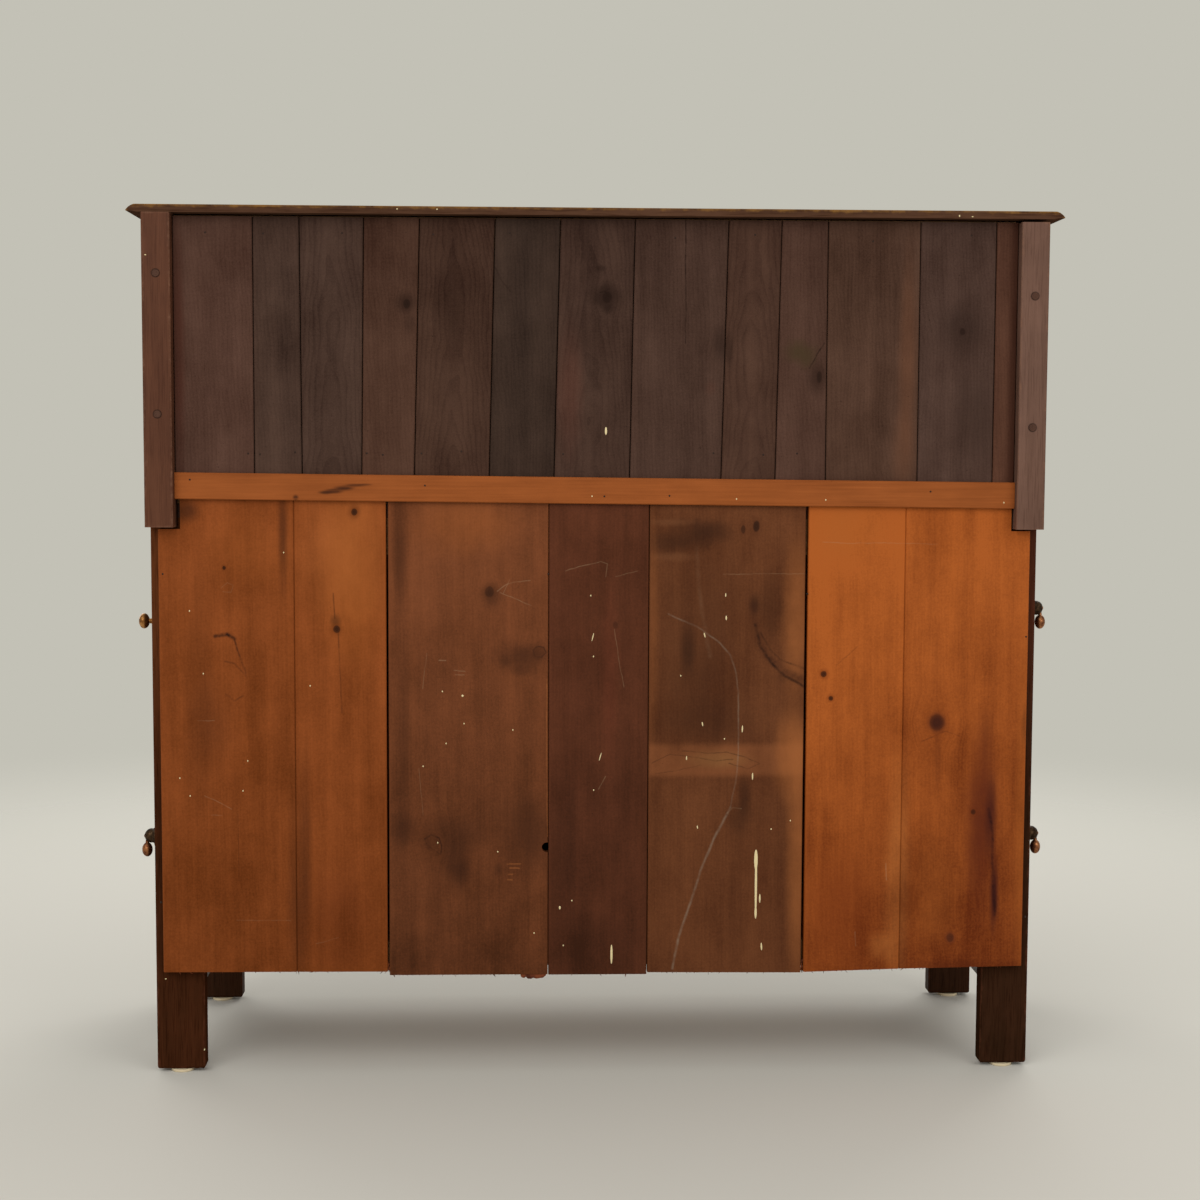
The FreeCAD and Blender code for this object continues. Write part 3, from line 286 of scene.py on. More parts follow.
def stain_board(board, dark, light, shift, fade_and_shade=(0.0, 0.0), seam=None, step=0.0, pith=None, arches=0.05,
                knots=(), stains=(), ghosts=(), strokes=(), edge=0.35, dry=0.66):
    # Sawn pine under an old thin stain: soft upright streaks where it soaked in unevenly, fine fibres,
    # saw marks, pits and a dry sheen. dark and light are the stain's range, and fade_and_shade shifts it
    # at the foot and the head: on the lower boards partly the stain's own fading and partly painted light
    # falling from above, on the upper boards painted shade under the top's overhang. seam is where two
    # planks meet, and step how much lighter the left one is.
    # The rings arch about a pith (across, behind), and knots (x, z, half width, half height, depth of
    # colour) push the grain aside. stains are clouds (tone, x, z, half width, half height, strength),
    # ghosts are squared patches (tone, x0, x1, z0, z1, strength), and strokes are
    # (tone, half width, strength, points).
    material, tree, mm = start_material("stained_pine_" + board)
    low, high = [corner * MM_PER_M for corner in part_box(board)]
    axes = add(tree, "SeparateXYZ", {}, {0: mm})
    drift_space = add(tree, "VectorMath", "MULTIPLY_ADD", {0: mm, 1: BENDS_PER_MM, 2: (shift, shift, 0.0)})
    drift = add(tree, "TexNoise", {}, {"Vector": drift_space, "Scale": 1.0, "Detail": 4.0, "Roughness": 0.6})
    drift = add(tree, "VectorMath", "SUBTRACT", {0: drift.outputs["Color"], 1: (0.5, 0.0, 0.5)})
    marks = add(tree, "VectorMath", "MULTIPLY_ADD", {0: drift, 1: BROAD_WANDER, 2: mm})
    wavy = add(tree, "VectorMath", "MULTIPLY_ADD", {0: drift, 1: SMALL_WANDER, 2: mm})
    wavy = add(tree, "VectorMath", "MULTIPLY", {0: wavy, 1: (1.0, 0.0, 1.0)})
    across = axes.outputs["X"]
    nearest, knot_depth = 9.0, 0.0
    for x, z, wide, tall, depth in knots:
        off, reach = oval_reach(tree, wavy, x, z, wide, tall)
        closer = add(tree, "Math", "LESS_THAN", {0: reach, 1: nearest})
        knot_depth = add(tree, "Mix", {"data_type": "FLOAT"}, {0: closer, 2: knot_depth, 3: depth})
        nearest = add(tree, "Math", "MINIMUM", {0: nearest, 1: reach})
        push = add(tree, "MapRange", SMOOTH, {"Value": reach, "From Min": 4.5, "From Max": 0.4, "To Max": 0.8})
        aside = add(tree, "VectorMath", "DOT_PRODUCT", {0: off, 1: (wide, 0.0, 0.0)})
        aside = add(tree, "Math", "MULTIPLY", {0: push, 1: aside.outputs["Value"]})
        across = add(tree, "Math", "SUBTRACT", {0: across, 1: aside})
    plank = add(tree, "Math", "GREATER_THAN", {0: axes.outputs["X"], 1: seam or EVERYWHERE})
    across = add(tree, "Math", "MULTIPLY_ADD", {0: plank, 1: PLANK_SHIFT, 2: across})
    grain = add(tree, "CombineXYZ", {}, {0: across, 1: axes.outputs["Y"], 2: axes.outputs["Z"]})
    # Counted per mm: fibres 2 mm wide, streaks 20 mm wide, clouds of stain 70 mm across, saw marks 2.5 mm
    # apart, specks 2.5 mm across, and the slow heave of the rings, 80 mm across
    patterns = []
    for space, per_mm, offset, detail, rough in ((grain, (0.5, 0.5, 0.011), (0.0, 0.0, 0.0), 4.0, 0.65),
                                                 (grain, (0.05, 0.05, 0.0028), (shift, 0.0, shift), 3.0, 0.55),
                                                 (mm, (0.014, 0.014, 0.009), (0.0, shift, shift), 6.0, 0.6),
                                                 (mm, (0.03, 0.03, 0.4), (0.0, 0.0, 0.0), 2.0, 0.5),
                                                 (mm, (0.4, 0.4, 0.4), (0.0, 0.0, 0.0), 2.0, 0.5),
                                                 (mm, (0.012, 0.012, 0.006), (shift, 0.0, shift), 3.0, 0.5)):
        stretched = add(tree, "VectorMath", "MULTIPLY_ADD", {0: space, 1: per_mm, 2: offset})
        patterns.append(add(tree, "TexNoise", {}, {"Vector": stretched, "Scale": 1.0, "Detail": detail,
                                                   "Roughness": rough}))
    fibre, streak, cloud, saw, speckle, heave = patterns
    pith = pith or (high.x + FAR_PITH, PITH_DEPTH)
    from_pith = add(tree, "Math", "SUBTRACT", {0: across, 1: pith[0]})
    radius = add(tree, "CombineXYZ", {}, {0: from_pith, 1: pith[1]})
    radius = add(tree, "VectorMath", "LENGTH", {0: radius}).outputs["Value"]
    radius = add(tree, "Math", "MULTIPLY_ADD", {0: heave, 1: RING_HEAVE, 2: radius})
    radius = add(tree, "Math", "MULTIPLY_ADD", {0: axes.outputs["Z"], 1: RING_LEAN, 2: radius})
    ring = add(tree, "Math", "MULTIPLY", {0: radius, 1: 1 / RING_WIDTH})
    ring = add(tree, "Math", "FRACT", {0: ring})
    ring = add(tree, "MapRange", SMOOTH, {"Value": ring, "From Min": 0.45, "From Max": 0.95, "To Max": arches})
    # The shift with height is fade_and_shade: partly the stain's own fading, partly painted light and shade
    height = add(tree, "MapRange", {}, {"Value": axes.outputs["Z"], "From Min": low.z, "From Max": high.z,
                                        "To Min": fade_and_shade[0] - 0.9, "To Max": fade_and_shade[1] - 0.9})
    tone = add(tree, "Math", "MULTIPLY_ADD", {0: plank, 1: step, 2: height})
    for pattern, share in ((streak, 0.7), (cloud, 1.2), (fibre, 0.3), (saw, 0.1), (speckle, 0.5)):
        tone = add(tree, "Math", "MULTIPLY_ADD", {0: pattern, 1: share, 2: tone})
    tone = add(tree, "Math", {"operation": "SUBTRACT", "use_clamp": True}, {0: tone, 1: ring})
    base = add(tree, "Mix", COLOURS, {0: tone, 6: linear(dark), 7: linear(light)}).outputs[2]
    for colour, x0, x1, z0, z1, strength in ghosts:
        flat = add(tree, "SeparateXYZ", {}, {0: wavy})
        share = strength
        for axis, start, end in (("X", x0, x1), ("Z", z0, z1)):
            half = (end - start) / 2
            off = add(tree, "Math", "SUBTRACT", {0: flat.outputs[axis], 1: (start + end) / 2})
            off = add(tree, "Math", "ABSOLUTE", {0: off})
            inside = add(tree, "MapRange", SMOOTH,
                         {"Value": off, "From Min": half + GHOST_BLUR, "From Max": half - GHOST_BLUR})
            share = add(tree, "Math", "MULTIPLY", {0: share, 1: inside})
        share = add(tree, "Math", "MULTIPLY", {0: share, 1: cloud})
        share = add(tree, "Math", {"operation": "MULTIPLY", "use_clamp": True}, {0: share, 1: 2.0})
        base = add(tree, "Mix", COLOURS, {0: share, 6: base, 7: linear(colour)}).outputs[2]
    for colour, x, z, wide, tall, strength in stains:
        _, reach = oval_reach(tree, marks if min(wide, tall) > BROAD_MARK else wavy, x, z, wide, tall)
        soft = add(tree, "MapRange", SMOOTH, {"Value": reach, "From Min": 1.5, "From Max": 0.2, "To Max": strength * 2})
        soft = add(tree, "Math", {"operation": "MULTIPLY", "use_clamp": True}, {0: soft, 1: cloud})
        base = add(tree, "Mix", COLOURS, {0: soft, 6: base, 7: linear(colour)}).outputs[2]
    if knots:
        halo = add(tree, "MapRange", SMOOTH, {"Value": nearest, "From Min": 2.4, "From Max": 0.7, "To Max": 0.5})
        core = add(tree, "MapRange", SMOOTH, {"Value": nearest, "From Min": 1.15, "From Max": 0.7})
        turns = add(tree, "Math", "PINGPONG", {0: nearest, 1: 0.3})
        turns = add(tree, "MapRange", {}, {"Value": turns, "From Max": 0.3, "To Min": 0.8})
        core = add(tree, "Math", "MULTIPLY", {0: core, 1: turns})
        for share, colour in ((halo, dark), (core, GRIME_AND_SHADE)):
            share = add(tree, "Math", "MULTIPLY", {0: share, 1: knot_depth})
            base = add(tree, "Mix", COLOURS, {0: share, 6: base, 7: linear(colour)}).outputs[2]
    broken = add(tree, "TexNoise", {}, {"Vector": mm, "Scale": BREAKS_PER_MM, "Detail": 4.0, "Roughness": 0.7})
    broken = add(tree, "MapRange", SMOOTH, {"Value": broken, "From Min": 0.36, "From Max": 0.62, "To Min": 0.4})
    for colour, width, strength, points in strokes:
        gap = EVERYWHERE
        for a, b in zip(points, points[1:]):
            start = Vector((a[0], 0.0, a[1]))
            run = Vector((b[0], 0.0, b[1])) - start
            off = add(tree, "VectorMath", "SUBTRACT", {0: wavy, 1: start})
            share = add(tree, "VectorMath", "DOT_PRODUCT", {0: off, 1: run / run.length_squared})
            share = add(tree, "Math", {"operation": "MAXIMUM", "use_clamp": True},
                        {0: share.outputs["Value"], 1: 0.0})
            foot = add(tree, "VectorMath", "SCALE", {0: run, "Scale": share})
            reach = add(tree, "VectorMath", "DISTANCE", {0: off, 1: foot}).outputs["Value"]
            gap = add(tree, "Math", "MINIMUM", {0: gap, 1: reach})
        line = add(tree, "MapRange", SMOOTH, {"Value": gap, "From Min": width, "From Max": 0.0, "To Max": strength * 2})
        line = add(tree, "Math", "MULTIPLY", {0: line, 1: broken})
        line = add(tree, "Math", {"operation": "MULTIPLY", "use_clamp": True}, {0: line, 1: cloud})
        base = add(tree, "Mix", COLOURS, {0: line, 6: base, 7: linear(colour)}).outputs[2]
    side = add(tree, "Math", "SUBTRACT", {0: axes.outputs["X"], 1: (low.x + high.x) / 2})
    side = add(tree, "Math", "ABSOLUTE", {0: side})
    side = add(tree, "Math", "SUBTRACT", {0: (high.x - low.x) / 2, 1: side})
    side = add(tree, "Math", "MULTIPLY_ADD", {0: cloud, 1: EDGE_SPREAD, 2: side})
    side = add(tree, "MapRange", SMOOTH,
               {"Value": side, "From Min": EDGE_START, "From Max": EDGE_FULL, "To Max": edge})
    base = add(tree, "Mix", COLOURS, {0: side, 6: base, 7: linear(light)}).outputs[2]
    pit_space = add(tree, "VectorMath", "MULTIPLY", {0: mm, 1: PITS_PER_MM})
    pits = add(tree, "TexNoise", {}, {"Vector": pit_space, "Scale": 1.0, "Detail": 2.0, "Roughness": 0.7})
    pits = add(tree, "MapRange", SMOOTH, {"Value": pits, "From Min": 0.3, "From Max": 0.22, "To Max": 0.55})
    base = add(tree, "Mix", COLOURS, {0: pits, 6: base, 7: linear(GRIME_AND_SHADE)}).outputs[2]
    rough = add(tree, "MapRange", {}, {"Value": cloud, "From Min": 0.3, "From Max": 0.7,
                                       "To Min": dry + 0.1, "To Max": dry - 0.06})
    rise = add(tree, "Math", "MULTIPLY_ADD", {0: saw, 1: 0.25, 2: fibre})
    bump = add(tree, "Bump", {}, {"Height": rise, "Strength": 0.25, "Distance": GRAIN_RELIEF})
    shader = add(tree, "BsdfPrincipled", {}, {"Base Color": base, "Roughness": rough, "Normal": bump,
                                              "IOR": 1.48, "Specular IOR Level": 0.08})
    add(tree, "OutputMaterial", {}, {"Surface": shader})
    wear([board], material)


# Each lower board's fade_and_shade darkens its foot and lightens its head, partly as the stain's fading and partly as
# painted light falling from above
stain_board(
    "lower_back_board_1", "#622E0B", "#964E22", 0.0, fade_and_shade=(-0.16, 0.14), seam=419.0, step=-0.1,
    knots=[(515, 714, 2.6, 3.0, 0.9), (336, 792, 4.5, 5.0, 0.9), (361, 629, 5.0, 5.5, 0.9)],
    # The dark cloud at (565, 793) is painted shade in the corner under the batten beside the stile's tail
    stains=[(GRIME_AND_SHADE, 434, 773, 7, 90, 0.5), (GRIME_AND_SHADE, 565, 793, 16, 16, 0.6), (GRIME_AND_SHADE, 551, 528, 20, 150, 0.16),
            (GRIME_AND_SHADE, 416, 282, 14, 160, 0.2), (GRIME_AND_SHADE, 362, 641, 7, 9, 0.8), (GRIME_AND_SHADE, 336, 792, 9, 12, 0.4),
            (GRIME_AND_SHADE, 535, 498, 26, 60, 0.2), (GRIME_AND_SHADE, 405, 340, 8, 110, 0.25), (GRIME_AND_SHADE, 414, 227, 17, 90, 0.25),
            (SUNNED, 340, 707, 40, 120, 0.4), (SUNNED, 484, 736, 50, 50, 0.12), ("#4A1A06", 358, 220, 50, 80, 0.25),
            ("#A8602F", 350, 740, 60, 90, 0.3)],
    strokes=[("#2E160A", 4.5, 0.8, [(528, 620), (512, 623), (502, 617)]),
             (GRIME_AND_SHADE, 2.4, 0.6, [(502, 617), (497, 598), (486, 569)]),
             (GRIME_AND_SHADE, 2.2, 0.45, [(515, 585), (503, 582), (491, 571), (486, 565)]),
             (GRIME_AND_SHADE, 2.2, 0.4, [(514, 540), (503, 530), (491, 537)]),
             (CHALK, 1.0, 0.18, [(519, 687), (511, 694), (502, 690), (506, 681), (517, 682)]),
             (GRIME_AND_SHADE, 1.6, 0.5, [(366, 680), (363, 645)]), (GRIME_AND_SHADE, 1.6, 0.5, [(359, 623), (354, 513)]),
             (GRIME_AND_SHADE, 0.9, 0.5, [(499, 372), (499, 277)]), (CHALK, 1.0, 0.18, [(545, 397), (508, 379)]),
             (CHALK, 1.0, 0.15, [(537, 370), (521, 370)]), (CHALK, 1.0, 0.12, [(503, 222), (427, 220)]),
             (CHALK, 1.0, 0.18, [(553, 502), (531, 503)]), (CHALK, 1.0, 0.12, [(392, 188), (361, 195)])])

stain_board(
    "lower_back_board_2", "#472511", "#7A4426", 3.7, fade_and_shade=(-0.27, 0.32),
    knots=[(150, 682, 6.5, 8.0, 0.6), (81, 597, 9.0, 11.0, 0.25), (231, 332, 10.0, 13.0, 0.15)],
    stains=[(GRIME_AND_SHADE, 273, 760, 10, 90, 0.45), (GRIME_AND_SHADE, 268, 478, 9, 150, 0.2), (GRIME_AND_SHADE, 146, 676, 14, 18, 0.4),
            (GRIME_AND_SHADE, 104, 592, 36, 22, 0.45), (GRIME_AND_SHADE, 128, 585, 8, 9, 0.25), (GRIME_AND_SHADE, 106, 571, 14, 8, 0.25),
            (GRIME_AND_SHADE, 198, 344, 34, 26, 0.4), (GRIME_AND_SHADE, 198, 303, 18, 34, 0.45), (GRIME_AND_SHADE, 189, 287, 12, 20, 0.3),
            (GRIME_AND_SHADE, 269, 349, 17, 24, 0.4), (GRIME_AND_SHADE, 92, 344, 30, 56, 0.35), (GRIME_AND_SHADE, 126, 356, 50, 50, 0.15),
            (GRIME_AND_SHADE, 137, 292, 6, 10, 0.3), (SUNNED, 186, 781, 70, 45, 0.2)],
    strokes=[(CHALK, 1.1, 0.25, [(139, 683), (126, 693), (115, 696), (93, 698)]),
             (CHALK, 1.1, 0.25, [(135, 681), (119, 675), (91, 663)]),
             (CHALK, 0.9, 0.2, [(131, 679), (122, 699)]), (CHALK, 1.5, 0.3, [(219, 587), (210, 587)]),
             (CHALK, 1.2, 0.25, [(198, 572), (184, 571)]), (CHALK, 1.2, 0.2, [(196, 566), (185, 566)]),
             (CHALK, 0.8, 0.18, [(248, 435), (242, 369)]), (CHALK, 0.9, 0.18, [(237, 596), (242, 547)]),
             (RUBBED, 1.6, 0.5, [(124, 300), (107, 300)]), (RUBBED, 1.6, 0.5, [(121, 294), (109, 294)]),
             (RUBBED, 1.6, 0.5, [(123, 285), (117, 285)]), (RUBBED, 1.6, 0.5, [(124, 278), (118, 277)]),
             (GRIME_AND_SHADE, 1.8, 0.9, [(240, 336), (231, 341), (221, 337), (217, 326), (218, 315)]),
             (GRIME_AND_SHADE, 1.4, 0.5, [(240, 336), (236, 326), (218, 313)]),
             (GRIME_AND_SHADE, 1.4, 0.5, [(89, 601), (83, 606), (74, 605), (71, 597), (77, 591),
                                (86, 592), (89, 601)]),
             (RUBBED, 1.6, 0.5, [(70, 560), (69, 339)])])

stain_board(
    "lower_back_board_3", "#3A1D0E", "#633520", 8.1, fade_and_shade=(-0.16, 0.1),
    knots=[(-25, 636, 4.0, 5.0, 0.35)],
    stains=[("#7A3A26", -17, 568, 12, 110, 0.16), (GRIME_AND_SHADE, 45, 336, 20, 110, 0.2), (GRIME_AND_SHADE, 3, 183, 60, 40, 0.15)],
    strokes=[(CHALK, 1.1, 0.25, [(44, 711), (17, 719), (-5, 725), (-14, 721), (-12, 703)]),
             (CHALK, 1.0, 0.18, [(-25, 703), (-56, 712)]),
             (CHALK, 1.0, 0.18, [(-23, 630), (-30, 592), (-38, 549)]),
             (CHALK, 1.0, 0.24, [(-3, 405), (-13, 423)])])

stain_board(
    "lower_back_board_4", "#462310", "#714225", 12.9, fade_and_shade=(-0.05, 0.04),
    knots=[(-203, 770, 3.5, 6.0, 0.6), (-221, 774, 4.5, 8.0, 0.8)],
    ghosts=[("#8A5230", -320, -71, 424, 468, 0.5)],
    stains=[(GRIME_AND_SHADE, -146, 618, 60, 140, 0.25), (GRIME_AND_SHADE, -147, 497, 70, 32, 0.3), (GRIME_AND_SHADE, -134, 760, 50, 18, 0.45),
            (GRIME_AND_SHADE, -98, 748, 34, 14, 0.4), (GRIME_AND_SHADE, -154, 766, 26, 17, 0.35), ("#7E5234", -101, 779, 30, 5, 0.25),
            ("#7E5234", -109, 731, 32, 6, 0.25), (GRIME_AND_SHADE, -127, 603, 10, 36, 0.45), (GRIME_AND_SHADE, -242, 659, 17, 46, 0.4),
            (GRIME_AND_SHADE, -219, 665, 8, 16, 0.5), (GRIME_AND_SHADE, -145, 541, 60, 60, 0.2), (GRIME_AND_SHADE, -208, 396, 9, 26, 0.5),
            (GRIME_AND_SHADE, -200, 364, 18, 24, 0.35), (GRIME_AND_SHADE, -271, 563, 20, 9, 0.3),
            (RUBBED, -278, 642, 18, 100, 0.5), (RUBBED, -275, 450, 24, 60, 0.6), (RUBBED, -284, 301, 15, 150, 0.5),
            (RUBBED, -77, 628, 8, 150, 0.2), ("#8A6238", -168, 447, 44, 12, 0.35)],
    strokes=[("#33190F", 10.0, 0.55, [(-218, 664), (-220, 642), (-224, 620), (-234, 597), (-248, 583),
                                     (-266, 570), (-292, 557)]),
             (GRIME_AND_SHADE, 3.4, 0.8, [(-221, 637), (-228, 606), (-243, 583), (-260, 567), (-292, 549)]),
             (GRIME_AND_SHADE, 2.6, 0.5, [(-228, 625), (-243, 600), (-257, 587), (-292, 575)]),
             (GRIME_AND_SHADE, 1.4, 0.5, [(-120, 459), (-151, 456), (-182, 457), (-210, 450), (-229, 441),
                                (-213, 434), (-185, 441)]),
             (GRIME_AND_SHADE, 1.4, 0.45, [(-78, 442), (-103, 455), (-134, 450), (-168, 445), (-191, 447)]),
             (GRIME_AND_SHADE, 1.2, 0.4, [(-83, 427), (-117, 432), (-145, 439)]),
             ("#8F7F6C", 2.0, 0.25, [(-99, 651), (-138, 634), (-152, 625), (-172, 611), (-186, 594),
                                     (-194, 569), (-198, 541), (-199, 461), (-196, 416), (-188, 379)]),
             ("#8F7F6C", 3.0, 0.35, [(-188, 379), (-169, 342), (-147, 290), (-133, 244), (-116, 193),
                                     (-108, 149)]),
             (CHALK, 1.4, 0.2, [(-183, 371), (-192, 379), (-203, 377)]),
             (CHALK, 0.9, 0.2, [(-176, 707), (-289, 708)]),
             ("#7A5A42", 5.0, 0.16, [(-138, 743), (-141, 698), (-146, 654), (-152, 620), (-158, 592)])])

stain_board(
    "lower_back_board_5", "#622809", "#A95822", 17.3, fade_and_shade=(-0.34, 0.4), seam=-430.0, step=0.16,
    knots=[(-318, 568, 4.2, 4.6, 0.9), (-328, 533, 3.4, 3.6, 0.9), (-478, 499, 11.5, 12.5, 0.5),
           (-502, 192, 5.5, 6.5, 0.45), (-532, 372, 3.4, 4.0, 0.7)],
    # The wide dark band at (-520, 151) along the foot is painted shadow
    stains=[("#5A2410", -543, 358, 22, 130, 0.75), ("#3A1410", -557, 358, 8, 60, 0.6),
            ("#3A1410", -564, 254, 6, 55, 0.9), ("#5A2A1C", -502, 192, 7, 8, 0.7),
            (GRIME_AND_SHADE, -602, 495, 4, 26, 0.45), ("#4A1C0C", -480, 450, 6, 40, 0.25), ("#4A1C0C", -550, 477, 8, 40, 0.2),
            ("#4E2418", -478, 499, 12, 13, 1.0), (SUNNED, -347, 773, 50, 40, 0.3),
            ("#C98A4C", -425, 283, 18, 150, 0.12), ("#B86E34", -404, 180, 18, 22, 0.35),
            (SUNNED, -600, 385, 9, 240, 0.25), ("#6A2A0A", -346, 238, 50, 90, 0.4),
            (SUNNED, -472, 254, 40, 70, 0.3), ("#4A1A06", -520, 151, 80, 9, 0.4)],
    strokes=[("#33120C", 4.0, 1.0, [(-554, 375), (-561, 341), (-560, 300), (-563, 266), (-566, 225)]),
             (CHALK, 1.0, 0.18, [(-314, 752), (-475, 750)]), (CHALK, 1.2, 0.27, [(-409, 298), (-410, 275)]),
             (CHALK, 1.2, 0.27, [(-367, 200), (-368, 180)]), (GRIME_AND_SHADE, 1.4, 0.3, [(-336, 580), (-364, 606)]),
             ("#4A1C0C", 1.6, 0.4, [(-457, 472), (-491, 487), (-514, 478)])])

# Base top: one oak board over the lower stage, its front edge rounded to a nosing. It carries
# the upper stage and is open between the columns, so it is the most rubbed of the oak.

wear(["base_top_board"], stained_oak("waxed_oak_base_top", OAK_DARK, "#54301D", "#7A5034", "X",
                                     arris=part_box("base_top_board"), gloss=0.36))

# Upper stiles, each drawbored with two pegs. They are plain oak behind, dull and browner than
# the front because they were never waxed, and the pegs show their end grain. The left stile's
# lighter tones are painted glare.

PEG_RADIUS = 5.0
# The left stile's tones are lighter than the right's: painted glare
for stile, dark, light, pegs in (("upper_right_stile", "#45271A", "#66402D", (925, 1115)),
                                 ("upper_left_stile", "#533A2E", "#795A4C", (912, 1092))):
    low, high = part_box(stile)
    peg_x = (low.x + high.x) / 2 * MM_PER_M
    wear([stile], stained_oak("dull_oak_" + stile, dark, light, "#7E5A46", arris=(low, high), gloss=0.5, shine=0.08,
                              bores=[(peg_x, z, PEG_RADIUS) for z in pegs], pore=0.28))
wear(["stile_pegs"], stained_oak("peg_end_grain", "#36211A", "#5C4032", OAK_WORN, "Y", gloss=0.6, shine=0.1))

# Upper front and sides: a recessed oak frame round two doors and a fixed panel, fielded panels
# at the sides, and rails below them.

UPPER_DOOR_MEMBER = 50.0
upper_door_low, upper_door_high = [corner * MM_PER_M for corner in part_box("upper_right_door_frame")]
face_part = ("X", -upper_door_high.x, upper_door_high.x, upper_door_low.z, upper_door_high.z)
wear(["face_frame"], stained_oak("waxed_oak_face", OAK_DARK, OAK_LIGHT, OAK_WORN, "Z", "X", face_part))
wear(["centre_panel"], panel_oak)
SIDE_RAIL_HEAD = 843.0
side_part = ("Y", -EVERYWHERE, EVERYWHERE, SIDE_RAIL_HEAD, EVERYWHERE)
upper_side_oak = stained_oak("waxed_oak_upper_side", OAK_DARK, OAK_LIGHT, OAK_WORN, "Z", "Y", side_part)
for side in ("left", "right"):
    wear(["upper_" + side + "_side"], upper_side_oak)
    wear(["upper_" + side + "_door_frame"], door_oak("upper_" + side + "_door_frame", UPPER_DOOR_MEMBER))
    wear(["upper_" + side + "_door_panel"], panel_oak)

# Two turned columns under the front corners, and the frieze rails that rest on them. They are the
# same oak, and the columns shine more because the lathe left them smoother.

for column in ("left_column", "right_column"):
    wear([column], stained_oak("turned_oak_" + column, OAK_DARK, "#50301E", OAK_WORN, gloss=0.34))
frieze_low, frieze_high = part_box("frieze")
FRIEZE_RAIL = 22.0
frieze_part = ("X", frieze_low.x * MM_PER_M + FRIEZE_RAIL, frieze_high.x * MM_PER_M - FRIEZE_RAIL,
               EVERYWHERE, EVERYWHERE + 1.0)
wear(["frieze"], stained_oak("waxed_oak_frieze", OAK_DARK, OAK_LIGHT, OAK_WORN, "Y", "X", frieze_part,
                             arris=(frieze_low, frieze_high)))

# Upper back: thirteen narrow softwood boards nailed up between the stiles. They are stained a
# dull plum brown, each a little different, and their rings show as arches on the wider ones.

upper_tones = (("#372118", "#5E4236"), ("#2D1D16", "#523C31"), ("#2E1D16", "#533D32"), ("#351F15", "#5A3E30"),
               ("#2C1911", "#52392C"), ("#221610", "#453329"), ("#2C1B14", "#513A2F"), ("#301E16", "#553D32"),
               ("#2E1A12", "#543A2D"), ("#341F16", "#5A3F33"), ("#342016", "#5B4032"), ("#322019", "#584137"),
               ("#3A2117", "#624030"))
upper_marks = {
    # The dark red strip on board 1 at x 574 is painted shade beside the stile's inner face
    1: {"stains": [("#4A2216", 574, 1012, 9, 170, 0.5)]},
    3: {"pith": (367, 26), "arches": 0.16},
    4: {"knots": [(263, 1077, 5.0, 7.0, 0.8)],
        "stains": [(GRIME_AND_SHADE, 264, 1079, 14, 14, 0.5), (GRIME_AND_SHADE, 259, 1050, 8, 14, 0.25)]},
    5: {"pith": (199, 24), "arches": 0.16, "stains": [(GRIME_AND_SHADE, 199, 1086, 22, 60, 0.2)]},
    6: {"strokes": [(GRIME_AND_SHADE, 2.0, 0.4, [(141, 1126), (132, 1108), (121, 1095)])]},
    7: {"pith": (10, 26), "arches": 0.14, "knots": [(-12, 1087, 7.0, 8.0, 0.8)],
        "stains": [(GRIME_AND_SHADE, -9, 1087, 20, 17, 0.7), (GRIME_AND_SHADE, -2, 1127, 8, 5, 0.5),
                   (GRIME_AND_SHADE, -15, 1072, 10, 8, 0.5), ("#7A4030", 40, 958, 18, 80, 0.12)],
        "strokes": [(GRIME_AND_SHADE, 1.6, 0.9, [(-2, 1094), (-8, 1095), (-14, 1089)]),
                    (GRIME_AND_SHADE, 1.4, 0.7, [(-8, 1095), (-16, 1099)])]},
    8: {"stains": [(GRIME_AND_SHADE, -169, 1026, 10, 24, 0.45), ("#5A2E20", -156, 965, 7, 10, 0.12)],
        "strokes": [(GRIME_AND_SHADE, 1.6, 0.9, [(-119, 1194), (-120, 1101), (-120, 1026)])]},
    9: {"pith": (-212, 24), "arches": 0.15, "stains": [(GRIME_AND_SHADE, -180, 1017, 6, 24, 0.4)]},
    10: {"knots": [(-306, 980, 4.0, 8.0, 0.7)],
         "stains": [("#40321E", -278, 1013, 22, 17, 0.7), (GRIME_AND_SHADE, -303, 980, 14, 22, 0.45)],
         "strokes": [(GRIME_AND_SHADE, 1.8, 1.0, [(-312, 1026), (-302, 1011), (-291, 993)])]},
    11: {"stains": [("#6E452E", -428, 1005, 12, 130, 0.35), ("#6E452E", -424, 879, 16, 60, 0.25)]},
    12: {"knots": [(-504, 1044, 4.0, 5.0, 0.7)],
         "stains": [(GRIME_AND_SHADE, -504, 1048, 32, 40, 0.45), (GRIME_AND_SHADE, -524, 929, 34, 70, 0.3)]},
    # The dark patch down board 13 at x -600 to -570 is painted shade beside the stile's inner face
    13: {"ghosts": [("#361A10", -600, -570, 820, 1210, 0.62)]},
}
# fade_and_shade darkens the head of each upper board: painted shade under the overhang of the top
for number, (dark, light) in enumerate(upper_tones, 1):
    marks = {"arches": 0.1, "fade_and_shade": (0.1, -0.1), "edge": 0.1, "dry": 0.7, **upper_marks.get(number, {})}
    stain_board("upper_back_board_%02d" % number, dark, light, 2.3 * number, **marks)

# Batten: a rough strip of orange pine nailed across the feet of the upper boards, a little out
# of level, with a dark smear in its grain.


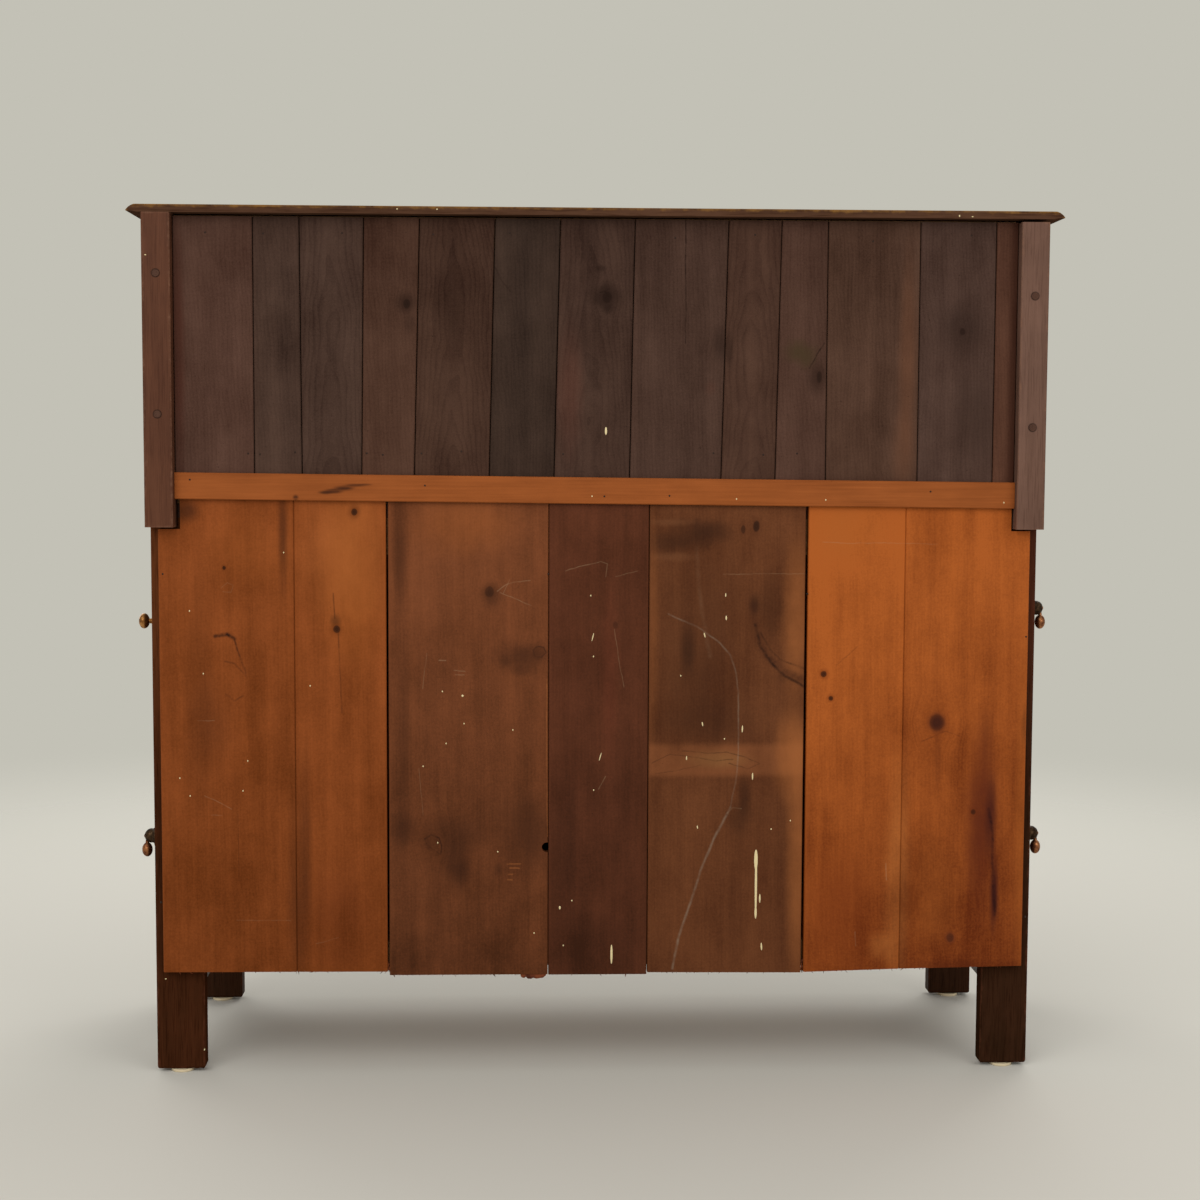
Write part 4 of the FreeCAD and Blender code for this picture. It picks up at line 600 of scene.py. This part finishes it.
def strip_pine(name, dark, light, smear):
    # Pine ripped along the grain, its fibres level with the floor: about 3 mm high and 125 long, in
    # paler and darker clouds about 80 mm long
    material, tree, mm = start_material(name)
    fibre_space = add(tree, "VectorMath", "MULTIPLY", {0: mm, 1: (0.008, 0.3, 0.36)})
    fibre = add(tree, "TexNoise", {}, {"Vector": fibre_space, "Scale": 1.0, "Detail": 4.0, "Roughness": 0.6})
    cloud_space = add(tree, "VectorMath", "MULTIPLY", {0: mm, 1: (0.012, 0.02, 0.03)})
    cloud = add(tree, "TexNoise", {}, {"Vector": cloud_space, "Scale": 1.0, "Detail": 5.0})
    tone = add(tree, "Math", "ADD", {0: fibre, 1: cloud})
    tone = add(tree, "Math", {"operation": "SUBTRACT", "use_clamp": True}, {0: tone, 1: 0.5})
    base = add(tree, "Mix", COLOURS, {0: tone, 6: linear(dark), 7: linear(light)}).outputs[2]
    for x, z, wide, tall, strength in ((374, 819, 10, 2.5, 1.5), (363, 821, 13, 3.5, 1.6), (349, 825, 14, 3.5, 1.6),
                                       (334, 829, 14, 2.2, 1.5), (320, 830, 10, 1.6, 1.2), (415, 812, 4, 4.0, 1.6)):
        _, reach = oval_reach(tree, mm, x, z, wide, tall)
        soft = add(tree, "MapRange", SMOOTH, {"Value": reach, "From Min": 1.4, "From Max": 0.3, "To Max": strength})
        soft = add(tree, "Math", {"operation": "MULTIPLY", "use_clamp": True}, {0: soft, 1: fibre})
        base = add(tree, "Mix", COLOURS, {0: soft, 6: base, 7: linear(smear)}).outputs[2]
    bump = add(tree, "Bump", {}, {"Height": fibre, "Strength": 0.25, "Distance": GRAIN_RELIEF})
    shader = add(tree, "BsdfPrincipled", {}, {"Base Color": base, "Roughness": 0.62, "Normal": bump,
                                              "IOR": 1.48, "Specular IOR Level": 0.08})
    add(tree, "OutputMaterial", {}, {"Surface": shader})
    return material


wear(["back_batten"], strip_pine("orange_pine_batten", "#7A3F19", "#9F5728", "#3A1D0F"))

# Top: one oak board with a moulded edge. Its back edge has been handled and knocked, and is
# golden brown along the upper corner, partly worn and partly a painted highlight where light catches it.

top_low, top_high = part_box("top_board")
# The box reaches far below the board, so that only the upper edges are lightened, by wear and painted highlight
BELOW = Vector((0.0, 0.0, 0.1))
upper_edges = (top_low - BELOW, top_high)
wear(["top_board"], stained_oak("waxed_oak_top", "#3A2519", "#5F4231", "#8A6230", "X", arris=upper_edges, rub=12.5,
                                gloss=0.6, shine=0.0))

# Brass: knobs on the doors and one on the side, and drops on domed rosettes. Cast and turned,
# then left to tarnish, so they are golden where hands rub and brown in the hollows.


def tarnished_brass(name, bright, brown, gloss):
    # Spots of tarnish about 6 mm across, browner and rougher than the metal between them
    material, tree, mm = start_material(name)
    spots = add(tree, "TexNoise", {}, {"Vector": mm, "Scale": 0.16, "Detail": 5.0, "Roughness": 0.65})
    share = add(tree, "MapRange", SMOOTH, {"Value": spots, "From Min": 0.38, "From Max": 0.62})
    base = add(tree, "Mix", COLOURS, {0: share, 6: linear(bright), 7: linear(brown)})
    rough = add(tree, "MapRange", {}, {"Value": share, "To Min": gloss, "To Max": gloss + 0.22})
    bump = add(tree, "Bump", {}, {"Height": spots, "Strength": 0.08, "Distance": 0.0005})
    shader = add(tree, "BsdfPrincipled", {},
                 {"Base Color": base.outputs[2], "Metallic": 1.0, "Roughness": rough, "Normal": bump})
    add(tree, "OutputMaterial", {}, {"Surface": shader})
    return material


knob_brass = tarnished_brass("tarnished_brass", "#A8704A", "#6A3E2A", 0.32)
wear(["right_lower_drop", "left_lower_drop", "left_upper_drop"], knob_brass)
wear(["right_side_knob"], tarnished_brass("rubbed_brass", "#C08A52", "#84582F", 0.34))
for stage in ("upper", "lower"):
    wear([stage + "_" + side + "_door_knob" for side in ("left", "right")], knob_brass)
wear(["side_rosettes"], tarnished_brass("blackened_brass", "#54402E", "#2E2118", 0.45))

# Iron: wrought door pins, and the heads of the nails that hold the back on. The heads are
# hammered flat and rust brown.


def forged_iron(name, dark, rust):
    # Dark forge scale with specks of rust under 2 mm across, rough and barely shiny
    material, tree, mm = start_material(name)
    spots = add(tree, "TexNoise", {}, {"Vector": mm, "Scale": 0.6, "Detail": 5.0, "Roughness": 0.7})
    base = add(tree, "Mix", COLOURS, {0: spots, 6: linear(dark), 7: linear(rust)})
    bump = add(tree, "Bump", {}, {"Height": spots, "Strength": 0.3, "Distance": 0.0004})
    shader = add(tree, "BsdfPrincipled", {},
                 {"Base Color": base.outputs[2], "Metallic": 0.6, "Roughness": 0.6, "Normal": bump})
    add(tree, "OutputMaterial", {}, {"Surface": shader})
    return material


rusty_iron = forged_iron("forged_iron", "#1C1512", "#3E281C")
wear(["door_pins"], rusty_iron)


def make_piece(bm, name, material, body):
    mesh = bpy.data.meshes.new(name)
    bm.to_mesh(mesh)
    bm.free()
    mesh.materials.append(material)
    for polygon in mesh.polygons:
        polygon.use_smooth = True
    piece = bpy.data.objects.new(name, mesh)
    bpy.context.scene.collection.objects.link(piece)
    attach(piece, body)


upper_back_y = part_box("upper_back_board_01")[1].y
lower_back_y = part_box("lower_back_board_1")[1].y
batten_low, batten_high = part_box("back_batten")
stile_low, stile_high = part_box("upper_right_stile")
post_back_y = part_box("right_rear_post")[1].y
BOARD_FOOT, BATTEN_LEAN = 140.0, 3.0


def back_surface(x, z):
    # How far back the wood stands at a place in mm: the top, a stile, the boards, the batten or a foot
    if z > top_low.z * MM_PER_M:
        return top_high.y
    if z < BOARD_FOOT:
        return post_back_y
    if abs(x) > stile_low.x * MM_PER_M and z > stile_low.z * MM_PER_M:
        return stile_high.y
    if z > batten_high.z * MM_PER_M:
        return upper_back_y
    return batten_high.y if z > batten_low.z * MM_PER_M + BATTEN_LEAN else lower_back_y


NAIL_RADIUS, NAIL_PROUD, NAIL_ROW = 1.6, 0.35, 1171
nails = bmesh.new()
face_back = Matrix.Rotation(math.radians(-90), 4, "X")
dice = random.Random(11)
nail_places = [(480, 872), (464, 871), (416, 874), (318, 873), (296, 871), (243, 873), (188, 876), (48, 873),
               (-160, 875), (-229, 873), (-276, 875), (-9, 815), (-99, 816), (-462, 823), (559, 836), (238, 829)]
nail_places += [(x + dice.uniform(-6, 6), NAIL_ROW + dice.uniform(-5, 5))
                for x in (536, 452, 350, 230, 120, -100, -210, -380, -520)]
nail_places += [(68, 707), (-293, 680), (599, 706), (-602, 620), (607, 247), (-609, 221)]
for x, z in nail_places:
    spot = Matrix.Translation(Vector((x, back_surface(x, z) * MM_PER_M, z)) / MM_PER_M)
    bmesh.ops.create_cone(nails, cap_ends=True, segments=10, radius1=NAIL_RADIUS / MM_PER_M,
                          radius2=0.7 * NAIL_RADIUS / MM_PER_M, depth=2 * NAIL_PROUD / MM_PER_M,
                          matrix=spot @ face_back)
make_piece(nails, "nail_heads", rusty_iron, "case")

# Paint: cream drips and specks that fell down the back while it stood turned to a wall being
# painted. Each is a hard little bead, and the long ones ran and thinned before they dried.


def old_paint(name, tone, shade):
    # Hard oil paint, yellowed in specks about 2 mm across and still a little glossy
    material, tree, mm = start_material(name)
    spots = add(tree, "TexNoise", {}, {"Vector": mm, "Scale": 0.5, "Detail": 4.0})
    base = add(tree, "Mix", COLOURS, {0: spots, 6: linear(tone), 7: linear(shade)})
    shader = add(tree, "BsdfPrincipled", {}, {"Base Color": base.outputs[2], "Roughness": 0.45, "IOR": 1.5})
    add(tree, "OutputMaterial", {}, {"Surface": shader})
    return material


PAINT_THICKNESS = 0.5
# Drops are (x, z, half width, half height, lean in degrees), the others in mm
paint_drops = [(x, z, 0.9, 1.2, 0) for x, z in (
    (563, 655), (545, 568), (485, 446), (579, 422), (565, 397), (492, 404), (433, 736), (398, 551), (215, 543),
    (185, 498), (210, 470), (242, 438), (117, 489), (222, 330), (138, 317), (87, 201), (9, 677), (5, 592), (4, 404),
    (34, 247), (46, 183), (-117, 565), (-179, 476), (-246, 348), (-273, 360), (8, 815), (-192, 812), (-316, 811),
    (-565, 808))]
paint_drops += [
    (187, 537, 1.6, 1.6, 0), (6, 619, 0.7, 6.0, 14), (-5, 451, 0.7, 6.0, 16), (51, 237, 1.4, 2.4, 0),
    (-22, 170, 1.6, 14.0, 0), (-179, 678, 0.9, 2.5, 0), (-180, 646, 1.1, 3.2, 0), (-150, 622, 0.9, 3.6, -14),
    (-148, 497, 0.9, 3.2, -10), (-204, 490, 1.0, 5.0, 2), (-126, 449, 0.9, 2.8, 0), (-219, 423, 1.0, 5.0, 0),
    (-142, 351, 0.9, 2.4, -8), (-225, 304, 2.6, 15.0, 0), (-225.3, 269, 1.7, 48.0, 0), (-225.3, 229, 1.7, 9.0, 0),
    (-231, 249, 1.2, 6.5, 0), (-234, 180, 1.2, 5.5, -4), (-11, 905, 1.6, 5.5, 0), (274, 1203, 1.0, 1.0, 0),
    (220, 1203, 1.0, 1.0, 0), (-493, 1200, 1.0, 1.4, 0), (-511, 1199, 1.4, 0.7, 0), (613, 1139, 1.4, 0.7, 10),
    (605, 134, 1.3, 0.8, -20), (552, 32, 0.8, 1.6, 10)]
paint = bmesh.new()
for x, z, wide, tall, lean in paint_drops:
    spot = Matrix.Translation(Vector((x, back_surface(x, z) * MM_PER_M, z)) / MM_PER_M)
    tilt = Matrix.Rotation(math.radians(-lean), 4, "Y")
    size = Matrix.Diagonal((wide / MM_PER_M, PAINT_THICKNESS / MM_PER_M, tall / MM_PER_M, 1.0))
    bmesh.ops.create_uvsphere(paint, u_segments=12, v_segments=8, radius=1.0, matrix=spot @ tilt @ size)
make_piece(paint, "paint_drips", old_paint("cream_paint", "#E9D8A8", "#D2BC88"), "case")

# Torn fibres: the feet of the lower boards were sawn off roughly and never dressed, so splinters
# and whiskers of pine hang from them. Each is a thin tapered sliver rooted in the board.


def torn_fibre(name, dark, light):
    # Broken pine, dry and matt, darker and paler in patches about 17 mm across
    material, tree, mm = start_material(name)
    patch = add(tree, "TexNoise", {}, {"Vector": mm, "Scale": 0.06, "Detail": 4.0})
    share = add(tree, "MapRange", SMOOTH, {"Value": patch, "From Min": 0.4, "From Max": 0.6})
    base = add(tree, "Mix", COLOURS, {0: share, 6: linear(dark), 7: linear(light)})
    shader = add(tree, "BsdfPrincipled", {},
                 {"Base Color": base.outputs[2], "Roughness": 0.8, "Specular IOR Level": 0.2})
    add(tree, "OutputMaterial", {}, {"Surface": shader})
    return material


FOOT_SLOPE, NARROW = 0.012, 0.002


def board_foot(board, x):
    # The height of a board's sawn foot at x, read between its lowest corners
    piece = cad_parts[board]
    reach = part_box(board)[0].z + FOOT_SLOPE
    places = [piece.matrix_world @ vertex.co for vertex in piece.data.vertices]
    corners = sorted({(round(place.x, 5), round(place.z, 5)) for place in places if place.z < reach})
    for (x0, z0), (x1, z1) in zip(corners, corners[1:]):
        if x0 <= x <= x1 and x1 - x0 > NARROW:
            return z0 + (z1 - z0) * (x - x0) / (x1 - x0)
    return corners[0][1] if x < corners[0][0] else corners[-1][1]


SLIVER_LENGTHS, SLIVER_GAPS = (0.0012, 0.0016, 0.002, 0.003, 0.005), (0.002, 0.008)
ROOT, MARGIN, SKIN, TIP, THINNEST, THICKEST = 0.0004, 0.003, 0.0008, 0.0001, 0.0004, 0.0011
PACKED_FIBRES, PACKED_LENGTH, PACKED_ACROSS, PACKED_DEEP = 26, 0.007, (0.0003, 0.0032), (0.002, 0.008)
splinters = bmesh.new()
slivers = []
for number in range(1, 6):
    board = "lower_back_board_%d" % number
    low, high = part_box(board)
    x = low.x + MARGIN
    while x < high.x - MARGIN:
        length = dice.choice(SLIVER_LENGTHS)
        place = Vector((x, dice.uniform(low.y + MARGIN, high.y - SKIN), board_foot(board, x) - length / 2 + ROOT))
        slivers.append((place, length, dice.gauss(0.0, 0.5), dice.uniform(THINNEST, THICKEST)))
        x += dice.uniform(*SLIVER_GAPS)
for board, below in (("lower_back_board_1", 0.010), ("lower_back_board_4", 0.016)):
    # Where a wide gap runs out at the foot, it is packed with broken fibre
    low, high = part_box(board)
    for step in range(PACKED_FIBRES):
        place = Vector((low.x - dice.uniform(*PACKED_ACROSS), high.y - dice.uniform(*PACKED_DEEP),
                        low.z + 0.001 + below * step / PACKED_FIBRES))
        slivers.append((place, PACKED_LENGTH, dice.gauss(0.0, 0.35), THICKEST))
for place, length, lean, thickness in slivers:
    tilt = Matrix.Rotation(lean, 4, "Y") @ Matrix.Rotation(dice.gauss(0.0, 0.25), 4, "X")
    bmesh.ops.create_cone(splinters, cap_ends=True, segments=5, radius1=TIP, radius2=thickness, depth=length,
                          matrix=Matrix.Translation(place) @ tilt)
make_piece(splinters, "torn_fibres", torn_fibre("torn_pine_fibre", "#3A1B0C", "#6E3618"), "case")

# A flap of the second board's foot was torn down by the saw and still hangs there, split into
# a ragged edge.

FLAP_THICKNESS, FLAP_SET_IN, FLAP_BEVEL, RAGGED = 0.003, 0.0012, 0.0004, 0.0025
flap_outline = [(107, 143), (105, 137.5), (101.5, 136.2), (98.5, 138), (96, 135.4), (91, 135), (88.5, 136.6),
                (84, 135.2), (78, 136), (74, 136.8), (70.5, 139.5), (69.5, 143)]
flap = bmesh.new()
rear = lower_back_y - FLAP_SET_IN
corners = [flap.verts.new((x / MM_PER_M, rear, z / MM_PER_M)) for x, z in flap_outline]
front = bmesh.ops.extrude_face_region(flap, geom=[flap.faces.new(corners)])
for vert in front["geom"]:
    if isinstance(vert, bmesh.types.BMVert):
        vert.co.y -= FLAP_THICKNESS
bmesh.ops.recalc_face_normals(flap, faces=flap.faces)
bmesh.ops.bevel(flap, geom=[edge for edge in flap.edges if edge.calc_length() > RAGGED], offset=FLAP_BEVEL,
                segments=1, profile=0.5, affect="EDGES", material=-1)
make_piece(flap, "torn_flap", torn_fibre("torn_pine_flap", "#4A2012", "#7A3E22"), "case")

# Drawbore pegs: riven oak pins driven through the tenons of the doors and the front frame, and
# pared off nearly flush. They hold the joints without glue.

peg_oak = stained_oak("front_peg_end_grain", "#2A160C", "#55301C", OAK_WORN, "Y", gloss=0.55, shine=0.15)
FRONT_PEG_RADIUS, FRONT_PEG_PROUD = 3.4, 0.4
face_front = Matrix.Rotation(math.radians(90), 4, "X")


def drive_pegs(name, body, front, places):
    # Places are (x, z) in mm on a front face that stands at y = front, in metres
    pegs = bmesh.new()
    for x, z in places:
        spot = Matrix.Translation((x / MM_PER_M, front, z / MM_PER_M))
        bmesh.ops.create_cone(pegs, cap_ends=True, segments=12, radius1=FRONT_PEG_RADIUS / MM_PER_M,
                              radius2=0.9 * FRONT_PEG_RADIUS / MM_PER_M, depth=2 * FRONT_PEG_PROUD / MM_PER_M,
                              matrix=spot @ face_front)
    make_piece(pegs, name, peg_oak, body)


PEG_SHARES = (0.4, 0.3, 0.72)
for stage, member in (("upper", UPPER_DOOR_MEMBER), ("lower", LOWER_DOOR_MEMBER)):
    for side in ("left", "right"):
        door = stage + "_" + side + "_door"
        low, high = [corner * MM_PER_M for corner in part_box(door + "_frame")]
        across, outer, inner = [member * share for share in PEG_SHARES]
        places = [(x, z) for x in (low.x + across, high.x - across)
                  for z in (low.z + outer, low.z + inner, high.z - inner, high.z - outer)]
        drive_pegs(door + "_pegs", door, low.y / MM_PER_M, places)
POST_PEG_IN, LOW_PEGS, HIGH_PEGS = 22, (18, 44), (12, 28)
post_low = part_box("right_front_post")[0] * MM_PER_M
rail_low, rail_high = [corner * MM_PER_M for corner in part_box("front_frame")]
heights = [rail_low.z + rise for rise in LOW_PEGS] + [rail_high.z - fall for fall in HIGH_PEGS]
places = [(side * (post_low.x + POST_PEG_IN), z) for side in (-1, 1) for z in heights]
drive_pegs("front_post_pegs", "case", post_low.y / MM_PER_M, places)

# Studio: a plain pale floor, broad soft lamps high on both sides and an even pale surround,
# with the camera where the photograph was taken from.

FLOOR_HALF, FLOOR_NEAR, FLOOR_FAR = 6.0, 900.0, 3200.0
floor_mesh = bpy.data.meshes.new("floor")
floor_bm = bmesh.new()
bmesh.ops.create_grid(floor_bm, x_segments=1, y_segments=1, size=FLOOR_HALF)
floor_bm.to_mesh(floor_mesh)
floor_bm.free()
floor = bpy.data.objects.new("floor", floor_mesh)
bpy.context.scene.collection.objects.link(floor)
floor_material, tree, mm = start_material("pale_floor")
away = add(tree, "VectorMath", "LENGTH", {0: mm}).outputs["Value"]
gone = add(tree, "MapRange", SMOOTH, {"Value": away, "From Min": FLOOR_NEAR, "From Max": FLOOR_FAR})
shader = add(tree, "BsdfPrincipled", {},
             {"Base Color": linear("#CFCCC3"), "Roughness": 0.9, "Specular IOR Level": 0.0})
clear = add(tree, "BsdfTransparent", {}, {})
mixed = add(tree, "MixShader", {}, {0: gone, 1: shader, 2: clear})
add(tree, "OutputMaterial", {}, {"Surface": mixed})
floor_mesh.materials.append(floor_material)
floor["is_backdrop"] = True

world = bpy.data.worlds.new("studio")
bpy.context.scene.world = world
world.use_nodes = True
tree = world.node_tree
tree.nodes.clear()
light_path = add(tree, "LightPath", {}, {})
seen = add(tree, "Math", "ADD", {0: light_path.outputs["Is Camera Ray"], 1: light_path.outputs["Is Glossy Ray"]})
seen = add(tree, "Math", {"operation": "ADD", "use_clamp": True},
           {0: seen, 1: light_path.outputs["Is Transmission Ray"]})
surround = add(tree, "Background", {}, {"Color": linear("#E8E7E3"), "Strength": 0.8})
backdrop = add(tree, "Background", {}, {"Color": linear("#C3C1B6"), "Strength": 1.0})
mixed = add(tree, "MixShader", {}, {0: seen, 1: surround, 2: backdrop})
add(tree, "OutputWorld", {}, {"Surface": mixed})

MIDDLE = Vector((0.0, 0.0, 0.6))
lamps = (("rear_key", (1.3, 2.6, 2.3), 2.4, 38.0), ("rear_fill", (-1.9, 2.6, 1.6), 2.0, 20.0),
         ("front_key", (-1.3, -2.6, 2.3), 2.4, 46.0), ("front_fill", (1.9, -2.6, 1.6), 2.0, 24.0))
for name, place, size, power in lamps:
    lamp = bpy.data.lights.new(name, "AREA")
    lamp.size = size
    lamp.energy = power
    holder = bpy.data.objects.new(name, lamp)
    bpy.context.scene.collection.objects.link(holder)
    holder.location = place
    holder.rotation_euler = (MIDDLE - Vector(place)).to_track_quat("-Z", "Y").to_euler()

# Camera: a nearly level view of the back from a little to its left, looking slightly down.
# Angles are in radians, and the lens gives the photograph's square frame on a 36 mm sensor.

CAMERA_PLACE = Vector((0.0943, 2.9153, 0.8801))
YAW, PITCH, ROLL = 0.03616, 0.07694, 0.00408
SENSOR_MM, LENS_MM = 36.0, 58.758
right, up, ahead = Vector((-1, 0, 0)), Vector((0, 0, 1)), Vector((0, -1, 0))
ahead, right = (math.cos(YAW) * ahead + math.sin(YAW) * right, math.cos(YAW) * right - math.sin(YAW) * ahead)
ahead, up = (math.cos(PITCH) * ahead - math.sin(PITCH) * up, math.cos(PITCH) * up + math.sin(PITCH) * ahead)
right, up = (math.cos(ROLL) * right + math.sin(ROLL) * up, math.cos(ROLL) * up - math.sin(ROLL) * right)
camera_data = bpy.data.cameras.new("photo_view")
camera_data.sensor_width = SENSOR_MM
camera_data.lens = LENS_MM
camera = bpy.data.objects.new("photo_view", camera_data)
bpy.context.scene.collection.objects.link(camera)
turn = Matrix((right, up, -ahead)).transposed().to_4x4()
camera.matrix_world = Matrix.Translation(CAMERA_PLACE) @ turn
bpy.context.scene.camera = camera
bpy.context.scene.view_settings.view_transform = "Standard"

low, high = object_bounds()
